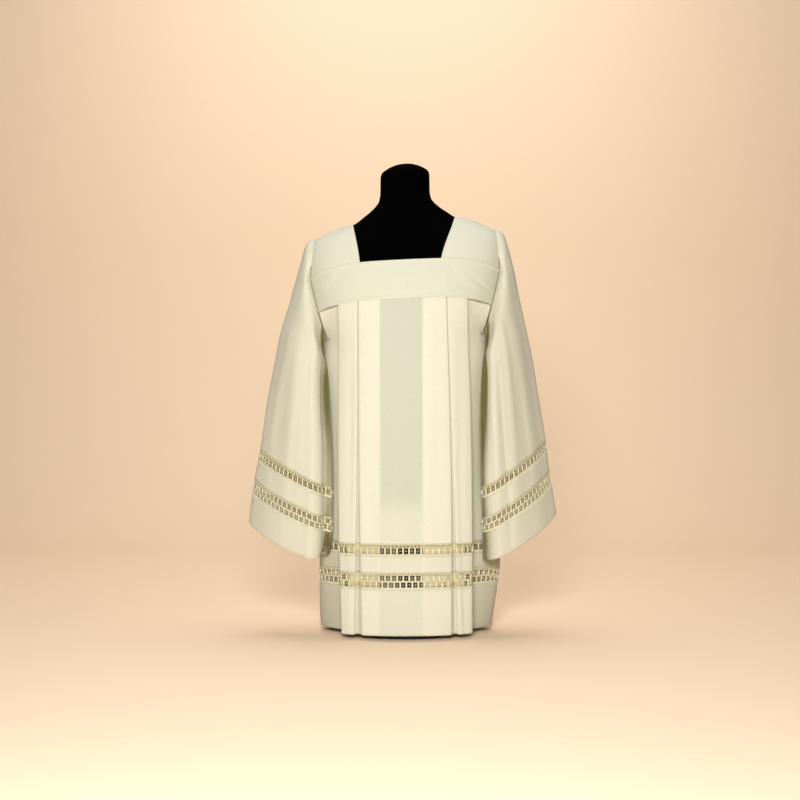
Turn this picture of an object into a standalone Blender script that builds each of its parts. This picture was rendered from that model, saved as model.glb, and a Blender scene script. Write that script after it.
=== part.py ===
"""A surplice with open-work lace insertions, worn by a limbless dress form.

Units are metres, Z is up, the front faces -Y and X runs to the viewer's right.
The origin is the middle of the underside of the form's base.
Every cloth piece is a closed wall, worked out from sections at named heights.
"""

import math

import bpy
import numpy as np

# Wall and seams
CLOTH = 0.0012          # thickness of every cloth wall
SEAM = 0.00015          # each piece stops this far short of its seam line
STRAP_SEAM = 0.0003     # a strap stops this much higher, clear of the yoke bands
LAP = 0.0004            # air between a sleeve and the armhole edge that it laps
SHOULDER_AIR = 0.0011   # air between the shoulder straps and the form

# Seam heights on the body
FRONT_NECK = 0.842
BACK_NECK = 0.862
YOKE_SEAM = 0.757
UNDERARM = 0.684
UPPER_LACE_TOP = 0.2132
UPPER_LACE_END = 0.1857
LOWER_LACE_TOP = 0.1494
LOWER_LACE_END = 0.1131
HEM = 0.012

# Lace
PITCH = 0.0133          # one repeat along a band
WINDOW = 0.0095         # width of an opening in a band
END_BAR = 0.0020        # least cloth left between an opening and a stretch's end
BODY_SINGLE = ((0.32, 0.80),)
BODY_DOUBLE = ((0.14, 0.44), (0.56, 0.86))
SLEEVE_SINGLE = ((0.30, 0.76),)
SLEEVE_DOUBLE = ((0.15, 0.44), (0.56, 0.85))

# Rows of each body panel, from the yoke's seam down to the upper lace
PANEL_ROWS = (YOKE_SEAM - SEAM, 0.720, 0.697, UNDERARM, 0.580, 0.400, UPPER_LACE_TOP + SEAM)

# Sleeve bands, as distances up the sleeve from the cuff's hem
CUFF_BAND = 0.066
LOWER_BAND = 0.100
STRIP_BAND = 0.142
UPPER_BAND = 0.168
SLEEVE_TOP = 0.665
SLEEVE_ROWS = (SLEEVE_TOP, 0.635, 0.60, 0.55, 0.49, 0.42, 0.34, 0.26, UPPER_BAND + SEAM)
SLEEVE_COLUMNS = 24
SLEEVE_RADIUS = 0.060   # about how far a sleeve's wall stands from its middle
STEP_UP = 0.030         # a sleeve's slope is taken over this length
STEP_ROUND = 0.02       # and over this turn

# Pleats
LAYER = 0.0036          # spacing of the three layers of a pleat
TUCK_SHORT = 0.004      # the hidden fold stops this far short of the recess
EDGE_START = 0.003      # the outer fold begins to turn back this far from its edge
EDGE_DROP = 0.002       # how far the outer fold's edge lies behind the panel's face
SIDE_SHARES = (0.0, 0.30, 0.57, 1.0)
SIDE_BULGE = 0.45       # how squarely the cloth goes round from the recess to the side
ROUND_SIDE_START = 0.66
MITRE_LIMIT = 1.5       # a wall's corner is drawn out no more than this

# Stand
BASE_RADIUS = 0.125
BASE_THICK = 0.008
BASE_BEVEL = 0.002
POLE_RADIUS = 0.0125
FORM_BOTTOM = 0.291
STAND_AIR = 0.0003
STAND_SIDES = 24

# Shoulders
SHOULDER_AXIS = 0.860   # height of the axis that the shoulder straps turn about
RAY_LENGTH = 0.2
ARMHOLE_GAP = 0.004     # height between the last armhole points of strap and band


class Table:
    """Rows of sizes under named columns, read smoothly along the first column."""

    def __init__(self, columns, rows):
        values = np.array(rows, dtype=float)
        self.keys = values[:, 0]
        self.columns = {name: values[:, i] for i, name in enumerate(columns)}
        self.slopes = {name: self.even_slopes(col) for name, col in self.columns.items()}

    def even_slopes(self, values):
        """Slopes at the rows that never overshoot between them."""
        steps = np.diff(values) / np.diff(self.keys)
        slopes = np.zeros(len(values))
        slopes[0], slopes[-1] = steps[0], steps[-1]
        for i in range(1, len(values) - 1):
            before, after = steps[i - 1], steps[i]
            if before * after > 0:
                slopes[i] = 2 * before * after / (before + after)
        return slopes

    def at(self, name, key):
        keys, values, slopes = self.keys, self.columns[name], self.slopes[name]
        key = min(max(key, keys[0]), keys[-1])
        i = min(int(np.searchsorted(keys, key, side="right")) - 1, len(keys) - 2)
        width = keys[i + 1] - keys[i]
        t = (key - keys[i]) / width
        rise = (2 * t ** 3 - 3 * t ** 2 + 1) * values[i] + (3 * t ** 2 - 2 * t ** 3) * values[i + 1]
        bend = (t ** 3 - 2 * t ** 2 + t) * slopes[i] + (t ** 3 - t ** 2) * slopes[i + 1]
        return float(rise + bend * width)


# The form: its horizontal sections from the torso's lower end to the neck's cap
FORM = Table(
    ("height", "half_width", "half_depth", "fullness"),
    (
        (0.291, 0.148, 0.104, 2.4),
        (0.400, 0.148, 0.107, 2.4),
        (0.500, 0.143, 0.101, 2.4),
        (0.600, 0.143, 0.095, 2.4),
        (0.700, 0.166, 0.100, 2.4),
        (0.757, 0.186, 0.1025, 2.4),
        (0.800, 0.206, 0.102, 2.4),
        (0.842, 0.219, 0.096, 2.4),
        (0.865, 0.2225, 0.089, 2.4),
        (0.885, 0.2215, 0.082, 2.35),
        (0.903, 0.213, 0.074, 2.3),
        (0.9135, 0.195, 0.0685, 2.2),
        (0.9325, 0.150, 0.0625, 2.1),
        (0.942, 0.118, 0.0605, 2.0),
        (0.958, 0.0945, 0.058, 2.0),
        (0.967, 0.082, 0.057, 2.0),
        (0.980, 0.068, 0.0555, 2.0),
        (0.9916, 0.060, 0.0545, 2.0),
        (1.010, 0.0570, 0.0530, 2.0),
        (1.046, 0.0565, 0.0525, 2.0),
    ),
)
FORM_CAP = ((1.054, 0.0540, 0.0500), (1.0645, 0.0400, 0.0370), (1.072, 0.0210, 0.0195))
FORM_CAP_TOP = 1.0747
FORM_COLUMNS = 20
FORM_ROWS = (
    0.291, 0.44, 0.60, 0.70, 0.757, 0.80, 0.842, 0.865, 0.885, 0.897, 0.906,
    0.9135, 0.923, 0.933, 0.942, 0.950, 0.958, 0.967, 0.980, 0.9916, 1.010, 1.046,
)

# The body's cloth: the curve that its front and back follow
BODY = Table(
    ("height", "half_width", "half_depth", "fullness"),
    (
        (0.012, 0.200, 0.150, 2.4),
        (0.113, 0.200, 0.148, 2.4),
        (0.170, 0.198, 0.146, 2.4),
        (0.220, 0.196, 0.1445, 2.4),
        (0.300, 0.192, 0.142, 2.4),
        (0.450, 0.186, 0.136, 2.3),
        (0.600, 0.182, 0.1295, 2.3),
        (0.684, 0.181, 0.1235, 2.2),
        (0.720, 0.192, 0.120, 2.2),
        (0.757, 0.205, 0.1165, 2.2),
        (0.800, 0.213, 0.109, 2.3),
        (0.842, 0.2208, 0.0979, 2.4),
        (0.865, 0.2243, 0.0910, 2.4),
    ),
)

# How far the body's sides reach, from the hem up to the underarms
SIDES = Table(
    ("height", "left", "right"),
    (
        (0.012, 0.1930, 0.1990),
        (0.045, 0.1960, 0.2043),
        (0.100, 0.1965, 0.2124),
        (0.160, 0.1965, 0.2190),
        (0.200, 0.1930, 0.2120),
        (0.250, 0.1840, 0.1960),
        (0.300, 0.1780, 0.1840),
        (0.380, 0.1740, 0.1760),
        (0.450, 0.1735, 0.1740),
        (0.520, 0.1760, 0.1770),
        (0.570, 0.1800, 0.1800),
        (0.610, 0.1830, 0.1830),
        (0.650, 0.1830, 0.1830),
        (0.684, 0.1810, 0.1810),
    ),
)

# Where each panel is cut away for the armhole, as a distance from the side line
ARMHOLE = Table(
    ("height", "reach"),
    (
        (0.684, 0.0),
        (0.688, 0.010),
        (0.700, 0.020),
        (0.720, 0.028),
        (0.757, 0.036),
        (0.800, 0.0300),
        (0.842, 0.0240),
        (0.862, 0.0220),
    ),
)

# Inverted pleats: the line where two folds meet, the panel's outer fold, the
# inner fold of the underlay and how far the line stands open
PLEAT_COLUMNS = ("height", "line", "edge", "underlay", "opening")
PLEATS = {
    "front_left": Table(PLEAT_COLUMNS, (
        (0.012, 0.1015, 0.141, 0.0557, 0.012),
        (0.250, 0.0995, 0.146, 0.0557, 0.004),
        (0.450, 0.1015, 0.148, 0.0557, 0.002),
        (0.757, 0.1056, 0.150, 0.0557, 0.0015),
    )),
    "front_right": Table(PLEAT_COLUMNS, (
        (0.012, 0.1093, 0.150, 0.0385, 0.012),
        (0.250, 0.1065, 0.1505, 0.0385, 0.004),
        (0.450, 0.1020, 0.149, 0.0385, 0.002),
        (0.757, 0.0926, 0.1405, 0.0385, 0.0015),
    )),
    "back": Table(PLEAT_COLUMNS, (
        (0.012, 0.1050, 0.147, 0.0480, 0.010),
        (0.250, 0.1030, 0.149, 0.0480, 0.004),
        (0.450, 0.1020, 0.149, 0.0480, 0.002),
        (0.757, 0.0990, 0.147, 0.0480, 0.0015),
    )),
}

# How far the cloth steps in and back behind the panel's outer fold
RECESS = Table(
    ("height", "inward", "back"),
    (
        (0.012, 0.014, 0.045),
        (0.200, 0.014, 0.040),
        (0.400, 0.012, 0.028),
        (0.600, 0.008, 0.014),
        (0.700, 0.004, 0.006),
        (0.757, 0.002, 0.004),
    ),
)

# The neckline's and the strap's edges, by the angle over the shoulder
STRAP_COLUMNS = ("angle", "left_neck", "right_neck", "armhole")
STRAP = Table(STRAP_COLUMNS, (
    (0.0, 0.1010, 0.0800, 0.2155),
    (90.0, 0.1190, 0.1150, 0.2060),
    (180.0, 0.1060, 0.1060, 0.2190),
))
STRAP_ROWS = 22
STRAP_SPANS = 5

# Sleeves: outer and inner lines up from the cuff, for the left and right arm
SLEEVE_LINE = ("up", "outer_x", "outer_z", "inner_x", "inner_z")
SLEEVES = {
    "left": Table(SLEEVE_LINE, (
        (0.000, 0.3592, 0.2530, 0.1700, 0.1680),
        (0.090, 0.3480, 0.3420, 0.1655, 0.2560),
        (0.166, 0.3338, 0.4166, 0.1655, 0.3320),
        (0.280, 0.3177, 0.5300, 0.1670, 0.4300),
        (0.340, 0.3069, 0.5877, 0.1700, 0.4800),
        (0.445, 0.2860, 0.6916, 0.1790, 0.5700),
        (0.520, 0.2645, 0.7630, 0.1850, 0.6050),
        (0.605, 0.2475, 0.8430, 0.1865, 0.6400),
        (0.640, 0.2450, 0.8900, 0.1840, 0.6560),
        (0.665, 0.2100, 0.9100, 0.1820, 0.6680),
    )),
    "right": Table(SLEEVE_LINE, (
        (0.000, 0.3485, 0.2738, 0.1770, 0.1690),
        (0.090, 0.3340, 0.3625, 0.1780, 0.2570),
        (0.166, 0.3245, 0.4380, 0.1820, 0.3330),
        (0.280, 0.3070, 0.5510, 0.1840, 0.4350),
        (0.340, 0.2980, 0.6100, 0.1850, 0.4850),
        (0.445, 0.2770, 0.7130, 0.1860, 0.5800),
        (0.520, 0.2610, 0.7860, 0.1870, 0.6180),
        (0.605, 0.2500, 0.8620, 0.1870, 0.6540),
        (0.640, 0.2460, 0.9100, 0.1850, 0.6690),
        (0.665, 0.2100, 0.9300, 0.1820, 0.6810),
    )),
}
SLEEVE_SHAPE = Table(
    ("up", "outer_y", "inner_y", "half_depth", "droop"),
    (
        (0.000, -0.004, -0.084, 0.047, 0.007),
        (0.070, -0.004, -0.083, 0.048, 0.003),
        (0.166, -0.004, -0.080, 0.049, 0.001),
        (0.340, 0.002, -0.058, 0.054, 0.0),
        (0.445, 0.003, -0.040, 0.057, 0.0),
        (0.520, 0.002, -0.030, 0.057, 0.0),
        (0.605, 0.000, -0.014, 0.056, 0.0),
        (0.665, 0.000, 0.000, 0.056, 0.0),
    ),
)
ARM_BLEND_START = 0.50
CUFF_TILT = 0.20        # the front of the cuff hangs lower than its back
CUFF_TILT_REACH = 0.34
CUFF_LIFT = {"left": 0.040, "right": 0.006}

# Long folds that run down a sleeve: place round it, depth, spread, where deepest
FOLD_COLUMNS = ("around", "depth", "spread", "deepest")
SLEEVE_FOLDS = {
    "left": ((120.0, 0.0095, 0.19, 0.34), (75.0, 0.0080, 0.19, 0.28),
             (225.0, 0.0070, 0.20, 0.30), (270.0, 0.0080, 0.20, 0.36)),
    "right": ((120.0, 0.0085, 0.19, 0.36), (90.0, 0.0070, 0.19, 0.26),
              (225.0, 0.0075, 0.20, 0.32), (285.0, 0.0070, 0.20, 0.28)),
}
FOLD_REACH = 0.20

# The whole figure leans: its right shoulder stands higher, and seams sag sideways
LEAN = Table(("height", "slope"), (
    (0.012, 0.0), (0.250, 0.0), (0.757, 0.042), (0.900, 0.050), (0.945, 0.072), (1.075, 0.055),
))
SAG = Table(("height", "drop"), (
    (0.550, 0.0), (0.757, 0.012), (0.842, 0.012), (0.885, 0.0),
))
SAG_WIDTH = 0.18

# Colour, roughness and metallic value of each finish
FINISHES = {
    "ivory_cloth": ((0.93, 0.89, 0.74, 1.0), 0.85, 0.0),
    "ivory_lace": ((0.88, 0.83, 0.66, 1.0), 0.88, 0.0),
    "black_jersey": ((0.012, 0.012, 0.013, 1.0), 0.80, 0.0),
    "black_metal": ((0.015, 0.015, 0.016, 1.0), 0.45, 0.0),
}


def clear_scene():
    for item in list(bpy.data.objects):
        bpy.data.objects.remove(item, do_unlink=True)


def finish(name):
    """The Principled material of one finish, made once."""
    if name in bpy.data.materials:
        return bpy.data.materials[name]
    colour, roughness, metallic = FINISHES[name]
    material = bpy.data.materials.new(name)
    material.use_nodes = True
    shader = material.node_tree.nodes["Principled BSDF"]
    shader.inputs["Base Color"].default_value = colour
    shader.inputs["Roughness"].default_value = roughness
    shader.inputs["Metallic"].default_value = metallic
    return material


def add_object(name, points, faces, finish_name):
    mesh = bpy.data.meshes.new(name)
    mesh.from_pydata([tuple(map(float, p)) for p in points], [], faces)
    mesh.validate()
    mesh.shade_smooth()
    mesh.set_sharp_from_angle(angle=math.radians(50))
    mesh.materials.append(finish(finish_name))
    item = bpy.data.objects.new(name, mesh)
    bpy.context.scene.collection.objects.link(item)
    return item


def split_face(face, points):
    """A face as triangles; one with four corners is split along its shorter diagonal."""
    if len(face) == 3:
        return [face]
    a, b, c, d = face
    if np.linalg.norm(points[a] - points[c]) <= np.linalg.norm(points[b] - points[d]):
        return [(a, b, c), (a, c, d)]
    return [(a, b, d), (b, c, d)]


def thick_sheet(name, outer, inner, faces, finish_name):
    """A closed wall from a sheet's outer points, inner points and outer faces."""
    count = len(outer)
    faces = [part for face in faces for part in split_face(face, outer)]
    edges = {(a, b) for face in faces for a, b in zip(face, face[1:] + face[:1])}
    rims = [(b, a, a + count, b + count) for a, b in sorted(edges) if (b, a) not in edges]
    backs = [tuple(i + count for i in reversed(face)) for face in faces]
    return add_object(name, list(outer) + list(inner), faces + backs + rims, finish_name)


def grid_faces(rows, columns, closed=False):
    """Quads of a grid whose rows run down and whose columns run to the right."""
    faces = []
    spans = columns if closed else columns - 1
    for r in range(rows - 1):
        for c in range(spans):
            d = (c + 1) % columns
            faces.append((r * columns + c, (r + 1) * columns + c,
                          (r + 1) * columns + d, r * columns + d))
    return faces


def leaned(point):
    """A point of the level, even figure moved to where the figure really holds it."""
    x, y, z = point
    sag = SAG.at("drop", z) * min(abs(x) / SAG_WIDTH, 1.25) ** 4
    return np.array((x, y, z + x * LEAN.at("slope", z) - sag))


def smoothstep(t):
    t = min(max(t, 0.0), 1.0)
    return t * t * (3 - 2 * t)


# The form

def form_excess(x, y, z):
    """Below zero inside the form, above zero outside it."""
    power = FORM.at("fullness", z)
    across = abs(x) / FORM.at("half_width", z)
    deep = abs(y) / FORM.at("half_depth", z)
    return across ** power + deep ** power - 1


def form_normal(point):
    step = 1e-4
    slope = []
    for axis in range(3):
        ahead, behind = np.array(point), np.array(point)
        ahead[axis] += step
        behind[axis] -= step
        slope.append(form_excess(*ahead) - form_excess(*behind))
    slope = np.array(slope)
    return slope / np.linalg.norm(slope)


def oval(half_width, half_depth, fullness, height, count):
    """Points round an oval from +X through -Y, so that the front comes first."""
    points = []
    for i in range(count):
        turn = 2 * math.pi * i / count
        cos, sin = math.cos(turn), math.sin(turn)
        x = math.copysign(abs(cos) ** (2 / fullness), cos) * half_width
        y = -math.copysign(abs(sin) ** (2 / fullness), sin) * half_depth
        points.append((x, y, height))
    return points


def build_form():
    rings = [
        oval(FORM.at("half_width", z), FORM.at("half_depth", z), FORM.at("fullness", z), z, FORM_COLUMNS)
        for z in FORM_ROWS
    ]
    rings += [oval(width, depth, 2.0, z, FORM_COLUMNS) for z, width, depth in FORM_CAP]
    points = [leaned(p) for ring in rings for p in ring]
    faces = []
    for r in range(len(rings) - 1):
        for c in range(FORM_COLUMNS):
            d = (c + 1) % FORM_COLUMNS
            low, high = r * FORM_COLUMNS, (r + 1) * FORM_COLUMNS
            faces.append((low + d, low + c, high + c, high + d))
    top = len(points)
    points.append(leaned((0.0, 0.0, FORM_CAP_TOP)))
    last = (len(rings) - 1) * FORM_COLUMNS
    faces += [(last + (c + 1) % FORM_COLUMNS, last + c, top) for c in range(FORM_COLUMNS)]
    faces.append(tuple(range(FORM_COLUMNS)))
    add_object("dress_form_torso", points, faces, "black_jersey")


def build_stand():
    """The round base with its pole, turned in one piece from a profile."""
    pole_top = FORM_BOTTOM - STAND_AIR
    profile = (
        (BASE_RADIUS - BASE_BEVEL, 0.0),
        (BASE_RADIUS, BASE_BEVEL),
        (BASE_RADIUS, BASE_THICK - BASE_BEVEL),
        (BASE_RADIUS - BASE_BEVEL, BASE_THICK),
        (POLE_RADIUS, BASE_THICK),
        (POLE_RADIUS, pole_top),
    )
    points, faces = [], []
    for radius, height in profile:
        for i in range(STAND_SIDES):
            turn = 2 * math.pi * i / STAND_SIDES
            points.append((radius * math.cos(turn), radius * math.sin(turn), height))
    for r in range(len(profile) - 1):
        for c in range(STAND_SIDES):
            d = (c + 1) % STAND_SIDES
            low, high = r * STAND_SIDES, (r + 1) * STAND_SIDES
            faces.append((low + c, low + d, high + d, high + c))
    faces.append(tuple(reversed(range(STAND_SIDES))))
    faces.append(tuple(range(len(points) - STAND_SIDES, len(points))))
    add_object("dress_form_stand", points, faces, "black_metal")


# Yoke

def body_curve(x, z):
    """Distance of the body's front curve from the middle plane, at a height."""
    power = BODY.at("fullness", z)
    across = min(abs(x) / BODY.at("half_width", z), 1.0)
    return BODY.at("half_depth", z) * (1 - across ** power) ** (1 / power)


def armhole_x(z):
    """How far out the body's curve is where the armhole cuts it."""
    power = BODY.at("fullness", z)
    deep = ARMHOLE.at("reach", z) / BODY.at("half_depth", z)
    return BODY.at("half_width", z) * (1 - deep ** power) ** (1 / power)


def band_section(z, spans):
    """A yoke band's line at one height, from the left armhole to the right one."""
    end = armhole_x(z)
    steps = [math.sin(math.pi / 2 * (2 * i / spans - 1)) for i in range(spans + 1)]
    return [(end * s, -body_curve(end * s, z)) for s in steps]


def offset_section(section, distance, side_ends=False):
    """The section moved sideways; its ends keep square to it or face the sides."""
    line = np.array(section)
    steps = np.diff(line, axis=0)
    steps /= np.linalg.norm(steps, axis=1)[:, None]
    normals = np.stack((steps[:, 1], -steps[:, 0]), axis=1)
    moved = []
    for i, point in enumerate(line):
        before = normals[max(i - 1, 0)]
        after = normals[min(i, len(normals) - 1)]
        middle = before + after
        middle /= np.linalg.norm(middle)
        reach = min(1 / (middle @ before), MITRE_LIMIT)
        if side_ends and i in (0, len(line) - 1):
            middle, reach = np.array((-1.0 if i == 0 else 1.0, 0.0)), 1.0
        moved.append(point + middle * reach * distance)
    return moved


def placed(section, z, behind):
    """Section points at a height; the back is the front's shape turned about Z."""
    turn = -1 if behind else 1
    return [leaned((turn * x, turn * y, z)) for x, y in section]


def section_walls(sections, behind=False):
    """Outer and inner points of a wall through (section, height, side ends) rows."""
    outer, inner = [], []
    for section, z, side_ends in sections:
        outer += placed(offset_section(section, CLOTH / 2, side_ends), z, behind)
        inner += placed(offset_section(section, -CLOTH / 2, side_ends), z, behind)
    return outer, inner


def build_band(name, top, rows, spans, behind):
    heights = np.linspace(top - SEAM, YOKE_SEAM + SEAM, rows)
    sections = [(band_section(z, spans), z, False) for z in heights]
    outer, inner = section_walls(sections, behind)
    thick_sheet(name, outer, inner, grid_faces(rows, spans + 1), "ivory_cloth")


def shoulder_point(x, angle, air):
    """A point over the form's shoulder: found along a ray at an angle from the front."""
    across, up = -math.cos(math.radians(angle)), math.sin(math.radians(angle))
    near, far = 0.0, RAY_LENGTH
    for _ in range(40):
        middle = (near + far) / 2
        if form_excess(x, across * middle, SHOULDER_AXIS + up * middle) < 0:
            near = middle
        else:
            far = middle
    point = np.array((x, across * near, SHOULDER_AXIS + up * near))
    return point + form_normal(point) * air, form_normal(point)


def seam_angle(x, z, behind):
    """The angle over the shoulder at which the form passes a seam's height."""
    power = FORM.at("fullness", z)
    across = abs(x) / FORM.at("half_width", z)
    deep = FORM.at("half_depth", z) * (1 - across ** power) ** (1 / power)
    angle = math.degrees(math.atan2(z - SHOULDER_AXIS, deep))
    return 180 - angle if behind else angle


def strap_angle(x, share):
    """Angle over the shoulder at a share of the way from the front seam to the back."""
    start = seam_angle(x, FRONT_NECK + STRAP_SEAM, False)
    end = seam_angle(x, BACK_NECK + STRAP_SEAM, True)
    return start + (end - start) * share


def strap_x(side, share, step):
    """Place across the strap, from its neck edge (step 0) to its armhole edge (step 1)."""
    key = 180 * share
    return (1 - step) * STRAP.at(side + "_neck", key) + step * STRAP.at("armhole", key)


def build_strap(side):
    sign = -1 if side == "left" else 1
    outer, inner = [], []
    air = SHOULDER_AIR + CLOTH / 2
    order = range(STRAP_SPANS + 1) if side == "right" else range(STRAP_SPANS, -1, -1)
    for r in range(STRAP_ROWS, -1, -1):
        share = r / STRAP_ROWS
        for c in order:
            x = strap_x(side, share, math.sin(math.pi / 2 * c / STRAP_SPANS))
            point, normal = shoulder_point(x, strap_angle(x, share), air)
            for points, distance in ((outer, CLOTH / 2), (inner, -CLOTH / 2)):
                moved = point + normal * distance
                points.append(leaned((moved[0] * sign, moved[1], moved[2])))
    faces = grid_faces(STRAP_ROWS + 1, STRAP_SPANS + 1)
    thick_sheet("yoke_shoulder_" + side, outer, inner, faces, "ivory_cloth")


# Body panels

# Where a half section is flat and shows: from its middle to the pleat's first
# fold, from the pleat to the outer fold, and from the step back to the side
FLAT_MIDDLE = 1
FLAT_PANEL = (8, 9)
FLAT_SIDE = (11, 13)


def half_section(pleat, z, side):
    """The body's line at a height, from beside the middle to the side, as (x, y)."""
    line, edge = pleat.at("line", z), pleat.at("edge", z)
    underlay, gap = pleat.at("underlay", z), pleat.at("opening", z) / 2
    inward, back = RECESS.at("inward", z), RECESS.at("back", z)
    tuck = edge - inward - TUCK_SHORT

    def layer(x, depth):
        return (x, -body_curve(x, z) + depth * LAYER)

    points = [layer(line * 0.5, 0)]
    folds = ((line - gap, 0, 1), (underlay, 1, 2), (tuck, 2, 1), (line + gap, 1, 0))
    for x, depth_from, depth_to in folds:
        points += [layer(x, depth_from), layer(x, depth_to)]
    front = -body_curve(edge, z)
    points += [layer(edge - EDGE_START, 0), (edge, front + EDGE_DROP)]
    start = np.array((edge - inward, front + EDGE_DROP + back))
    if z > UNDERARM:
        stop = np.array((armhole_x(z), -ARMHOLE.at("reach", z)))
    else:
        stop = np.array((SIDES.at(side, z), -SEAM))
    round_side = smoothstep((YOKE_SEAM - z) / (YOKE_SEAM - ROUND_SIDE_START))
    control = (start + stop) / 2 * (1 - round_side)
    control += np.array((stop[0], start[1] * SIDE_BULGE)) * round_side
    for t in SIDE_SHARES:
        points.append(tuple((1 - t) ** 2 * start + 2 * t * (1 - t) * control + t * t * stop))
    return points


def body_section(z, behind):
    """The whole front or back line at a height, from the left side to the right."""
    ends = ("right", "left") if behind else ("left", "right")
    left = half_section(PLEATS["back" if behind else "front_left"], z, ends[0])
    right = half_section(PLEATS["back" if behind else "front_right"], z, ends[1])
    middle = [(0.0, -BODY.at("half_depth", z))]
    return [(-x, y) for x, y in reversed(left)] + middle + right


def body_rows(heights, behind):
    return [(body_section(z, behind), z, z <= UNDERARM) for z in heights]


def build_body_piece(name, heights, behind):
    rows = body_rows(heights, behind)
    outer, inner = section_walls(rows, behind)
    thick_sheet(name, outer, inner, grid_faces(len(rows), len(rows[0][0])), "ivory_cloth")


# Lace

def places_along(line, start, stop):
    """Shares of a stretch's length at which its own columns stand."""
    steps = [float(np.linalg.norm(line[i + 1] - line[i])) for i in range(start, stop)]
    lengths = np.concatenate(([0.0], np.cumsum(steps)))
    return lengths / lengths[-1], lengths[-1]


def zip_chains(upper, lower):
    """Triangles between two chains of (place, index) that start and stop together."""
    faces, i, j = [], 0, 0
    while i < len(upper) - 1 or j < len(lower) - 1:
        next_upper = upper[i + 1][0] if i < len(upper) - 1 else math.inf
        next_lower = lower[j + 1][0] if j < len(lower) - 1 else math.inf
        if next_upper <= next_lower:
            faces.append((upper[i][1], lower[j][1], upper[i + 1][1]))
            i += 1
        else:
            faces.append((upper[i][1], lower[j][1], lower[j + 1][1]))
            j += 1
    return faces


def window_places(length, half_step):
    """Shares along a stretch where each opening starts and stops."""
    count = int((length - WINDOW - 2 * END_BAR) / PITCH) + 1
    if half_step:
        count -= 1
    if count < 1:
        return []
    first = (length - (count - 1) * PITCH) / 2
    middles = [first + i * PITCH for i in range(count)]
    return [((m - WINDOW / 2) / length, (m + WINDOW / 2) / length) for m in middles]


class LaceBand:
    """A wall between two rows of points, with rows of openings cut along some stretches."""

    def __init__(self, top, bottom):
        self.top, self.bottom = top, bottom
        self.outer, self.inner, self.faces = [], [], []
        self.rails = {}

    def add_point(self, pair):
        self.outer.append(pair[0])
        self.inner.append(pair[1])
        return len(self.outer) - 1

    def rail(self, index, downs):
        """A chain of points down the band at one of its own columns, made once."""
        if index not in self.rails:
            ends = [(self.top[w][index], self.bottom[w][index]) for w in (0, 1)]
            self.rails[index] = [
                (d, self.add_point([high * (1 - d) + low * d for high, low in ends]))
                for d in downs
            ]
        return self.rails[index]

    def stretch_point(self, which, start, shares, share, down):
        """A point of one face, a share of the way along a stretch and so far down it."""
        k = min(int(np.searchsorted(shares, share, side="right")) - 1, len(shares) - 2)
        part = (share - shares[k]) / (shares[k + 1] - shares[k])
        ends = []
        for line in (self.top[which], self.bottom[which]):
            ends.append(line[start + k] * (1 - part) + line[start + k + 1] * part)
        return ends[0] * (1 - down) + ends[1] * down

    def cut_stretch(self, start, stop, window_rows):
        downs = [0.0] + [d for pair in window_rows for d in pair] + [1.0]
        own, length = places_along(self.top[0], start, stop)
        left, right = self.rail(start, downs), self.rail(stop, downs)
        chains = []
        for n, down in enumerate(downs):
            if n in (0, len(downs) - 1):
                shares = list(own[1:-1])
            else:
                places = window_places(length, (n - 1) // 2 % 2 == 1)
                shares = [share for pair in places for share in pair]
            middle = [
                (share, self.add_point([self.stretch_point(w, start, own, share, down) for w in (0, 1)]))
                for share in shares
            ]
            chains.append([(0.0, left[n][1])] + middle + [(1.0, right[n][1])])
        for n in range(len(chains) - 1):
            upper, lower = chains[n], chains[n + 1]
            if n % 2 == 0:
                self.faces += zip_chains(upper, lower)
                continue
            for i in range(0, len(upper), 2):
                self.faces.append((upper[i][1], lower[i][1], lower[i + 1][1], upper[i + 1][1]))

    def plain_span(self, index):
        """The uncut cloth from a column to the next, which takes in the points of both."""
        ends = (0.0, 1.0)
        self.faces += zip_chains(self.rail(index + 1, ends), self.rail(index, ends))

    def build(self, name, stretches, window_rows):
        for start, stop in stretches:
            self.cut_stretch(start, stop, window_rows)
        for index in range(len(self.top[0]) - 1):
            if not any(start <= index < stop for start, stop in stretches):
                self.plain_span(index)
        thick_sheet(name, self.outer, self.inner, self.faces, "ivory_lace")


def build_body_lace(name, top, bottom, window_rows, behind):
    rows = body_rows((top - SEAM, bottom + SEAM), behind)
    outer, inner = section_walls(rows, behind)
    columns = len(rows[0][0])
    band = LaceBand((outer[:columns], inner[:columns]), (outer[columns:], inner[columns:]))
    last, middle = columns - 1, columns // 2
    right = [(middle + 1 + a, middle + 1 + b) for a, b in (FLAT_PANEL, FLAT_SIDE)]
    left = [(last - b, last - a) for a, b in right]
    stretches = left + [(middle - 1 - FLAT_MIDDLE, middle + 1 + FLAT_MIDDLE)] + right
    band.build(name, sorted(stretches), window_rows)


# Sleeves

def armhole_edge(side, behind):
    """Points from the shoulder's top down to the underarm, lapped just outside the edge."""
    sign = -1 if side == "left" else 1
    turn = 1 if behind else -1
    lap = CLOTH + LAP
    neck = BACK_NECK if behind else FRONT_NECK
    points = []
    for share in np.linspace(0.5, 1.0 if behind else 0.0, 9):
        x = strap_x(side, share, 1.0)
        point, _ = shoulder_point(x, strap_angle(x, share), SHOULDER_AIR + CLOTH / 2 + lap)
        points.append(leaned((point[0] * sign, point[1], point[2])))
    for z in np.linspace(neck - ARMHOLE_GAP, UNDERARM, 16):
        x, y = armhole_x(z), ARMHOLE.at("reach", z)
        power = BODY.at("fullness", z)
        normal = np.array((
            x ** (power - 1) / BODY.at("half_width", z) ** power,
            y ** (power - 1) / BODY.at("half_depth", z) ** power,
        ))
        normal /= np.linalg.norm(normal)
        points.append(leaned(((x + normal[0] * lap) * sign, turn * (y + normal[1] * lap), z)))
    return np.array(points)


ARMHOLE_EDGES = {}


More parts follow.
